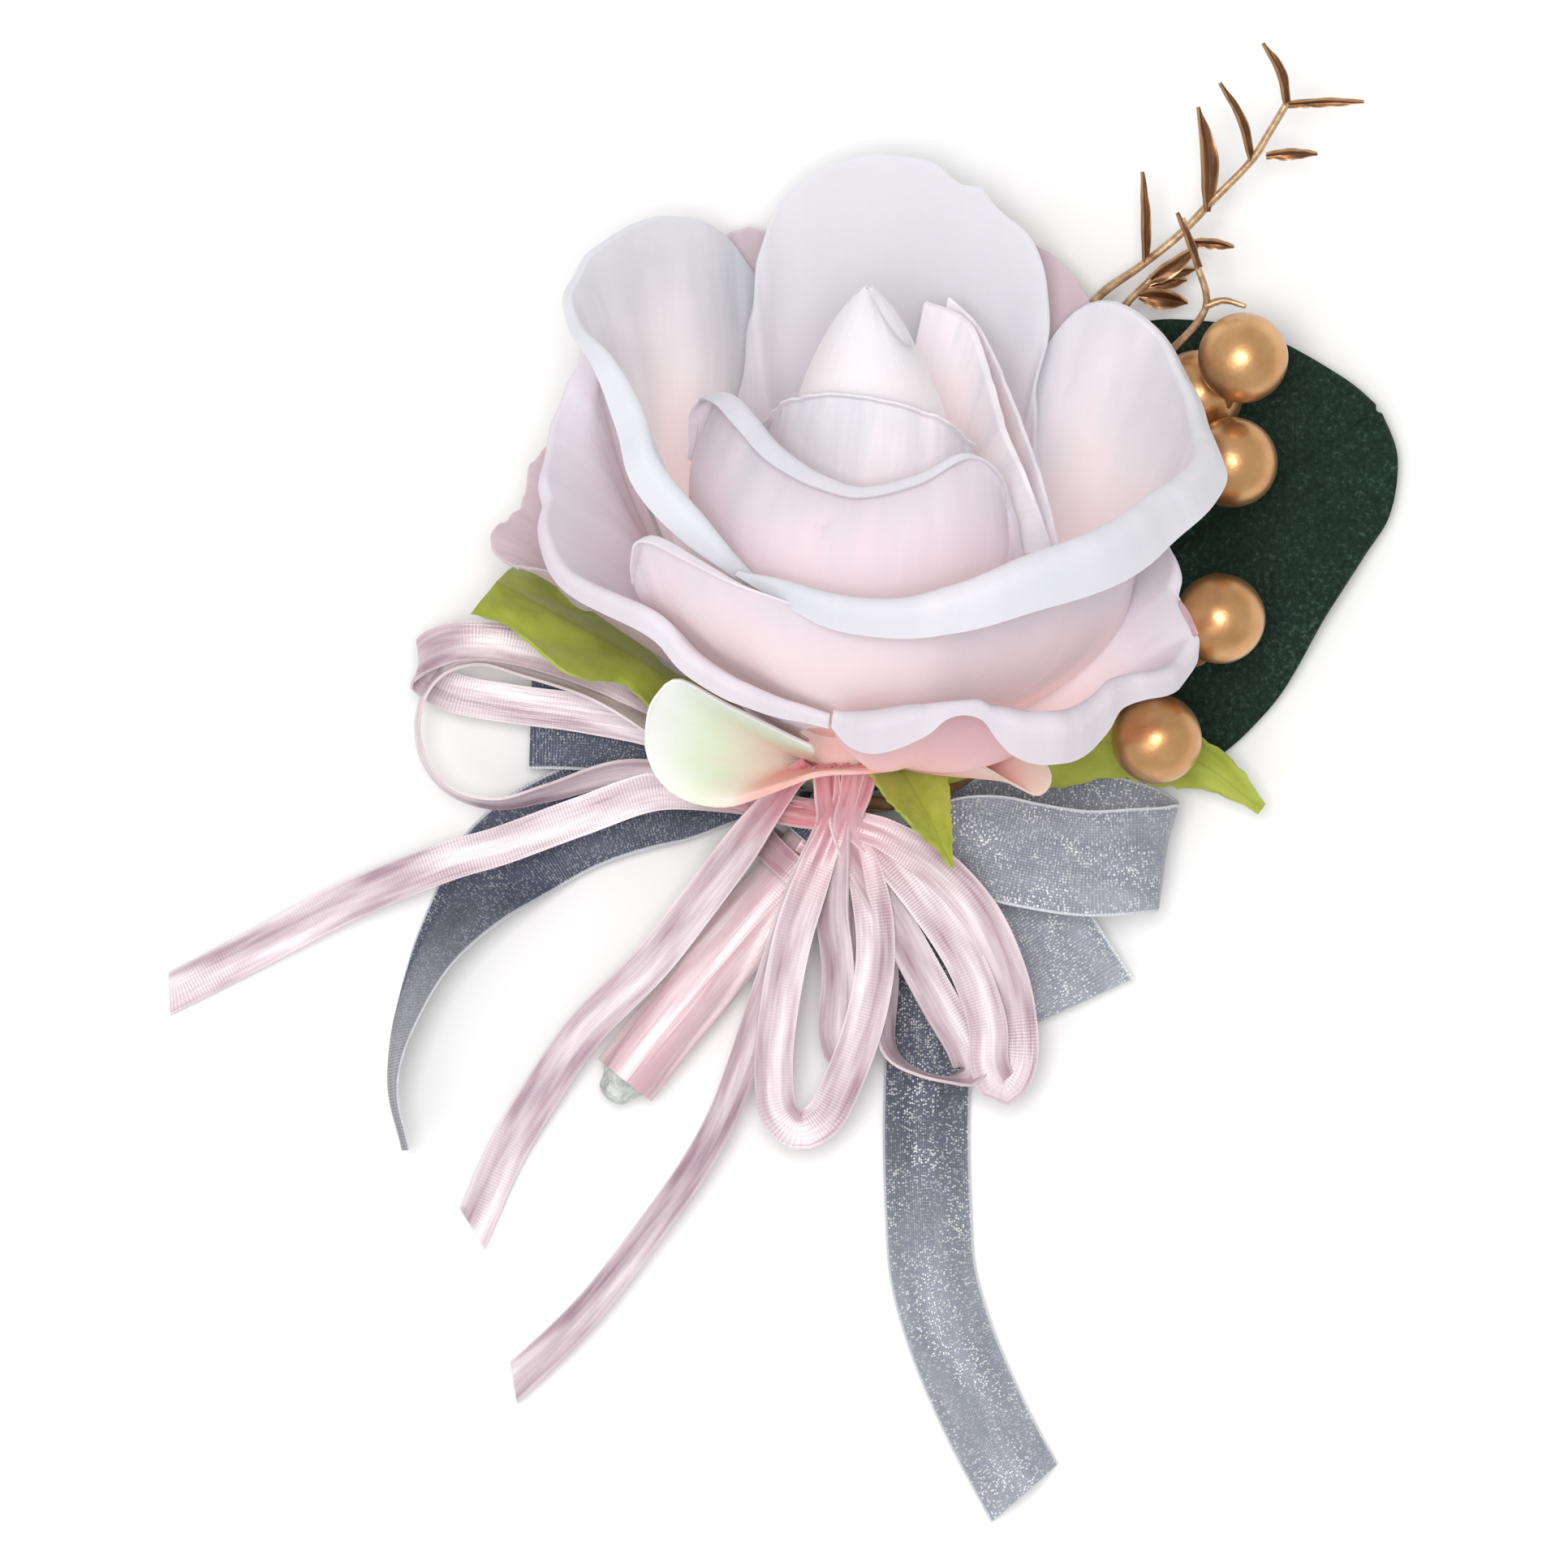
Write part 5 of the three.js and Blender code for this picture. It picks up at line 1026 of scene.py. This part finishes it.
def make_satin():
    # the shaded tone, the lit tone and the gathers' colour are painted shade, painted highlight and painted
    # shade
    satin = ribbon_material("satin", lit(170, 139, 152), lit(246, 232, 238), lit(222, 138, 147))
    for k, (name, spec) in enumerate(SATIN_STRANDS.items()):
        points, v, u, edge, pinch = strand_grid(width=SATIN_WIDTH, seed=50 + k * 3, bow=0.3, **spec)
        # root: painted shade where the strand is pinched into the gathers
        sheet("satin_" + name, points, SATIN_THICK, satin, SATIN_BOW, (v, u), edge=edge,
              root=np.clip(pinch * 1.7, 0, 0.85))
    # the turn over the knot takes at least half the gathers' painted shade
    points, v, u, edge, pinch = strand_grid(SATIN_TURN, SATIN_WIDTH, gather=(1, 1), seed=90, per_mm=3)
    sheet("satin_turn", points, SATIN_THICK, satin, SATIN_BOW, (v, u), edge=edge, root=pinch + 0.5)
    tie_band("satin_tie", 0.27, 2.6, satin, SATIN_BOW)
    # the knot is painted mostly in the gathers' shade colour
    ring_object("satin_knot", tube_points(Curve(SATIN_KNOT), gathered, 30, 42), satin, SATIN_BOW, (8, 8),
                edge=0, root=0.85, under=0)


def make_organza():
    sheer = organza_material("organza", lit(176, 181, 195), lit(136, 142, 158), 0.36)
    # painted shade: a darker, denser copy of the organza with fewer painted glints, for the strands that lie
    # in shade
    dark = organza_material("organza_shaded", lit(88, 93, 115), lit(52, 56, 79), 0.68, 0.4)
    for k, (name, spec) in enumerate(ORGANZA_STRANDS.items()):
        spec = dict(spec)
        stuff = dark if spec.pop("stuff", "") == "dark" else sheer
        # painted shade on the upper part of a strand, fading out along it
        gloom = spec.pop("gloom", 0)
        points, v, u, edge, _ = strand_grid(width=ORGANZA_WIDTH, seed=120 + k * 3, cols=24, bow=0.1, **spec)
        sheet("organza_" + name, points, ORGANZA_THICK, stuff, ORGANZA_BOW, (v, u), edge=edge,
              gloom=gloom * (1 - ease((u / u.max() - 0.38) / 0.32)))
    tie_band("organza_tie", 0.14, 3.0, dark, ORGANZA_BOW)


# ---- leaf, berries and sprigs ----

# for each spray the radius of its stalk and the places that the stalk passes through
STALKS = {
    "leaf": (0.6, [[6.6, -0.5, 4.9], [8.4, 0.2, 3.7], [10.6, 1.6, 2], [13.4, 3.8, 1.2]]),
    "berries": (0.6, [[6.9, -1.5, 6.7], [10, -1.7, 5.8], [15.5, 0.2, 4.5], [22, 7, 4.3], [28, 15, 4.5],
                      [32.6, 23, 4.9], [34.8, 28.6, 5.4], [36.2, 32.6, 5.8]]),
    "tall": (0.5, [[7, 0.2, 6.3], [10, 1.6, 4.9], [14.5, 7, 3.4], [20, 20, 3.2], [25, 36, 3.6],
                   [27.2, 42.4, 4.7], [31.8, 46, 6.6], [34.9, 48.5, 7.6], [37.9, 51.6, 8.5],
                   [41.4, 55.2, 9.6], [42.9, 57.6, 10.2], [44.4, 60.1, 10.8]]),
    "short": (0.5, [[6.7, -2, 4.8], [9.6, -1.8, 4.1], [13.4, 0.4, 3.9], [17, 5.4, 3.3], [23, 18, 3.2],
                    [27.4, 33, 3.5], [29.7, 41.6, 4.7], [32.4, 44.6, 5.6]]),
}
LEAF_BASE = np.array([9.6, 3.6, 0.0])
LEAF_REACH = 52
# shares of the reach, and how wide the leaf is there on its left and right
LEAF_SHARES = [0, 0.06, 0.2, 0.38, 0.56, 0.73, 0.84, 0.92, 0.98, 1]
LEAF_LEFT = [0.8, 1.6, 6.5, 13.4, 18, 18.6, 15.4, 10.8, 4.2, 0.6]
LEAF_RIGHT = [0.8, 2.2, 10.5, 16.8, 16.4, 12.4, 10, 8.2, 4.6, 0.6]

def leaf_material():
    """Velvet: dark green pile with paler flecks, a dark rib and faint veins."""
    n = Material("leaf_velvet", {"Roughness": 0.9, "Specular IOR Level": 0.15, "Sheen Weight": 0.08,
                                 "Sheen Roughness": 0.5, "Sheen Tint": srgb(170, 190, 178)})
    fleck = n.noise(n.place(), 2200, 2, 0.7)
    value = n.plus(n.times(fleck, 0.75), n.times(n.noise(n.place(), 70), 0.35))
    colour = n.ramp(value, stops((0.4, 22, 38, 32), (0.6, 34, 54, 45), (0.8, 74, 96, 85)))
    rib = n.ramp(n.math("ABSOLUTE", n.attribute("across")), [(0.0, 0.5), (0.035, 0)])
    veins = n.ramp(n.attribute("vein"), [(0.0, 0.4), (0.12, 0)])
    n.into("Base Color", n.blend(veins, n.blend(rib, colour, lit(18, 30, 26)), lit(18, 32, 27)))
    n.relief(fleck, 0.6, 0.0004)
    return n.made


def make_leaf():
    rows, cols = 90, 60
    t = np.linspace(0, 1, rows + 1)[:, None]
    v = np.linspace(-1, 1, cols + 1)[None, :]
    along = unit(np.array([0.824, 0.566, 0.0]))
    across = np.array([-along[1], along[0], 0.0])
    share = spline(LEAF_SHARES, t)
    half = np.where(v > 0, spline(LEAF_LEFT, t), spline(LEAF_RIGHT, t))
    points = LEAF_BASE + along * (share * LEAF_REACH + 0 * v)[..., None] + across * (v * half)[..., None]
    outside = ease((points[..., 0] - 30) / 22)
    points[..., 2] = (0.8 + 0.5 * v ** 2 * np.sin(t * np.pi) - 0.16 * np.exp(-(v / 0.04) ** 2)
                      + outside * (2.2 + 0.9 * np.sin(share * 14 + v * 2.4) * np.abs(v)))
    vein = np.abs(((share * 6.5 - np.abs(v) * 1.5) % 1) - 0.5) * 2
    v, t = v + 0 * t, t + 0 * v
    sheet("leaf_blade", points, LEAF_THICK, leaf_material(), LEAF, (v, t), across=v, vein=vein)
    radius, path = STALKS["leaf"]
    green = simple_material("leaf_stalk", srgb(40, 66, 44), srgb(66, 96, 66), 500, 0.6)
    tube("leaf_stalk", Curve(path), radius, green, LEAF, 20, 14)


# for each berry its centre and the places that its twig passes through
BERRIES = [
    ([40.5, 37.6, 12.8], [[34.4, 27.6, 5.3], [37.8, 31.4, 7.4], [39.8, 34.8, 10]]),
    ([39.6, 28.4, 10.5], [[33, 24, 5], [36, 26, 7], [38.4, 27.6, 9.4]]),
    ([38.5, 14.6, 11.5], [[28.4, 15.6, 4.5], [33, 11.6, 6.6], [36.6, 10.8, 8], [38.2, 12.6, 9.6]]),
    ([32.9, 4, 11.5], [[25.6, 11.6, 4.4], [29.6, 11, 6.6], [32, 8.8, 9.4], [32.8, 6, 10.8]]),
    ([36.6, 34.4, 6.4], []),
]
# which way the berry whose twig is hidden points, and the dimple at a berry's twig
HIDDEN_WAY = np.array([0.1, 0.5, 0.2])
DIMPLE_DEPTH, DIMPLE_SPREAD, TWIG_REACH = 0.35, 0.22, 3.4


def pearl_material():
    n = Material("berry_pearl", {"Metallic": 0.85, "Roughness": 0.34, "Coat Weight": 0.3,
                                 "Coat Roughness": 0.25})
    colours = [(0.3, srgb(190, 138, 88)), (0.7, srgb(216, 170, 118))]
    n.into("Base Color", n.ramp(n.noise(n.place(), 260), colours))
    n.relief(n.noise(n.place(), 2400, 2), 0.1, 0.0002)
    return n.made


def make_berries():
    pearl = pearl_material()
    brown = simple_material("berry_stalk", srgb(96, 68, 42), srgb(140, 104, 66), 600, 0.55)
    radius, path = STALKS["berries"]
    tube("berry_stalk", Curve(path), radius, brown, BERRY_SPRAY, 60, 14)
    turns = np.linspace(0, np.pi, 41)[:, None]
    r = BERRY_RADIUS * np.maximum(np.sin(turns), 0.012) * (1 + 0.006 * np.cos(3 * turns))
    along = DIMPLE_DEPTH * np.exp(-(turns / DIMPLE_SPREAD) ** 2) - BERRY_RADIUS * np.cos(turns)
    for k, (centre, twig) in enumerate(BERRIES):
        centre = np.array(centre)
        way = unit(centre - np.array(twig[-1])) if twig else unit(HIDDEN_WAY)
        ring = rings(centre + way * along, np.tile(way, (len(turns), 1)), r + np.zeros((1, 48)))
        ring_object(f"berry_{k}", ring, pearl, BERRY_SPRAY)
        if twig:
            curve = Curve(twig + [(centre - way * TWIG_REACH).tolist()])
            tube(f"berry_twig_{k}", curve, TWIG_RADIUS, brown, BERRY_SPRAY, 26, 12)


# for each leaf its base, its tip, its half width and how far its middle bends
TALL_LEAVES = [
    ([32, 46.1, 6.7], [31.7, 54.1, 8.6], 0.45, 0.1), ([37.4, 50.6, 8.4], [36.6, 59.8, 10.4], 0.82, 0.5),
    ([41.3, 55.1, 9.6], [38.5, 61.9, 11.6], 0.42, 0.5), ([44.4, 60, 10.8], [42.3, 65.4, 12.2], 0.46, 0.5),
    ([44.4, 60, 10.8], [51.2, 60.2, 11.6], 0.42, 0.3), ([42.6, 55.5, 9.6], [47.1, 55.7, 9.2], 0.52, 0.3),
]
SHORT_LEAVES = [
    ([32.1, 44.3, 5.5], [36.6, 47.6, 5.4], 0.75, 0.4), ([32.3, 44.7, 5.6], [36.4, 45.6, 4.2], 0.65, -0.4),
    ([31.4, 43.2, 5.3], [35.7, 42.6, 4.6], 0.95, 0.2), ([32, 44, 5.1], [35.6, 44.6, 4.4], 0.6, 0.2),
    ([36.1, 47.8, 12.2], [39.7, 47.4, 12.4], 0.5, 0.2), ([36.6, 45.6, 12], [34.7, 50.4, 13.6], 0.36, 0.1),
]
HOOK_STEM = [[26.4, 30, 3.4], [30, 34.6, 5.2], [34.3, 38.4, 8.6], [37.3, 42.3, 11], [36.4, 46, 12],
             [35.2, 49.8, 13]]
HOOK_TWIG = [[37.2, 42.2, 11], [38.8, 42.7, 11.2], [40.7, 42.2, 11.4]]

def sprig_material(name, dark, mid, bright):
    n = Material(name, {"Metallic": 0.65, "Roughness": 0.34})
    drift = n.noise(n.place(), 420, 4, 0.6)
    rim = n.ramp(n.math("ABSOLUTE", n.attribute("across")), [(0.0, 0.25), (0.15, 0), (0.7, 0), (0.95, 0.8)])
    n.into("Base Color", n.blend(rim, n.ramp(drift, [(0.3, dark), (0.7, mid)]), bright))
    n.relief(drift, 0.3, 0.0003)
    return n.made


def make_sprig(name, leaves, stems, part):
    leaf_stuff = sprig_material(name + "_leaf", srgb(74, 46, 28), srgb(120, 80, 50), srgb(196, 154, 112))
    stem_stuff = simple_material(name + "_stem", srgb(140, 100, 66), srgb(226, 196, 156), 500, 0.36,
                                 metallic=0.5)
    for k, (start, end, half, bend) in enumerate(leaves):
        start, end = np.array(start, float), np.array(end, float)
        middle = (start + end) / 2 + np.array([bend, bend * 0.3, 0.3])
        way = unit(end - start)
        widths = [0.3, half * 0.9, half, half * 0.7, 0.12]
        points, v, u = blade_grid([start, middle, end], [-way[1], way[0], 0.5], widths, fold=0.34,
                                  rows=26, cols=8, seed=200 + k)
        sheet(f"{name}_leaf_{k}", points, SPRIG_LEAF_THICK, leaf_stuff, part, (v, u), across=v)
    for k, (radius, path) in enumerate(stems):
        curve = Curve(path)

        def tapering(u, angle, radius=radius):
            return radius * (1 - 0.35 * u) * (1 + 0.06 * np.cos(4 * angle + u * 40))

        tube(f"{name}_stem_{k}", curve, tapering, stem_stuff, part, max(10, int(curve.length * 1.2)), 12)


# ---- stage ----

CAMERA_HEIGHT, LENS, SENSOR = 3.02, 782.5, 36
FLOOR_REACH, FLOOR_DROP = 3.0, 0.00004
SKY_STRENGTH = 0.66
LIGHT_TARGET = (0, 0, 0.02)


def area_light(name, place, size, energy, colour):
    light = bpy.data.lights.new(name, "AREA")
    light.shape = "DISK"
    light.size = size
    light.energy = energy
    light.color = colour
    obj = bpy.data.objects.new(name, light)
    obj.location = place
    obj.rotation_mode = "QUATERNION"
    obj.rotation_quaternion = (Vector(LIGHT_TARGET) - obj.location).to_track_quat("-Z", "Y")
    bpy.context.scene.collection.objects.link(obj)


def make_stage():
    scene = bpy.context.scene
    camera = bpy.data.cameras.new("camera")
    camera.lens = LENS
    camera.sensor_width = SENSOR
    obj = bpy.data.objects.new("camera", camera)
    obj.location = (SHIFT[0] * MM, SHIFT[1] * MM, CAMERA_HEIGHT)
    scene.collection.objects.link(obj)
    scene.camera = obj

    mesh = bpy.data.meshes.new("floor")
    corners = [(x * FLOOR_REACH, y * FLOOR_REACH, 0) for x, y in ((-1, -1), (1, -1), (1, 1), (-1, 1))]
    mesh.from_pydata(corners, [], [(0, 1, 2, 3)])
    floor = bpy.data.objects.new("floor", mesh)
    floor.location.z = -FLOOR_DROP
    scene.collection.objects.link(floor)
    n = Material("floor", {"Roughness": 0.9})
    n.into("Base Color", n.ramp(n.noise(n.place(), 6, 2), [(0.3, 0.86), (0.7, 0.88)]))
    mesh.materials.append(n.made)

    world = bpy.data.worlds.new("world")
    scene.world = world
    world.use_nodes = True
    sky = world.node_tree.nodes["Background"]
    sky.inputs["Color"].default_value = (1.0, 1.0, 1.0, 1)
    sky.inputs["Strength"].default_value = SKY_STRENGTH
    area_light("key", (-0.05, 0.06, 1.0), 0.42, 5.9, (1.0, 0.99, 0.98))
    area_light("fill", (-0.3, -0.25, 0.85), 0.6, 1.2, (1.0, 0.99, 0.985))
    scene.view_settings.view_transform = "Standard"


make_stage()
make_rose()
make_calyx()
make_stem()
make_satin()
make_organza()
make_leaf()
make_berries()
make_sprig("sprig_tall", TALL_LEAVES, [STALKS["tall"]], TALL_SPRIG)
make_sprig("sprig_short", SHORT_LEAVES, [STALKS["short"], (0.42, HOOK_STEM), (0.35, HOOK_TWIG)], SHORT_SPRIG)
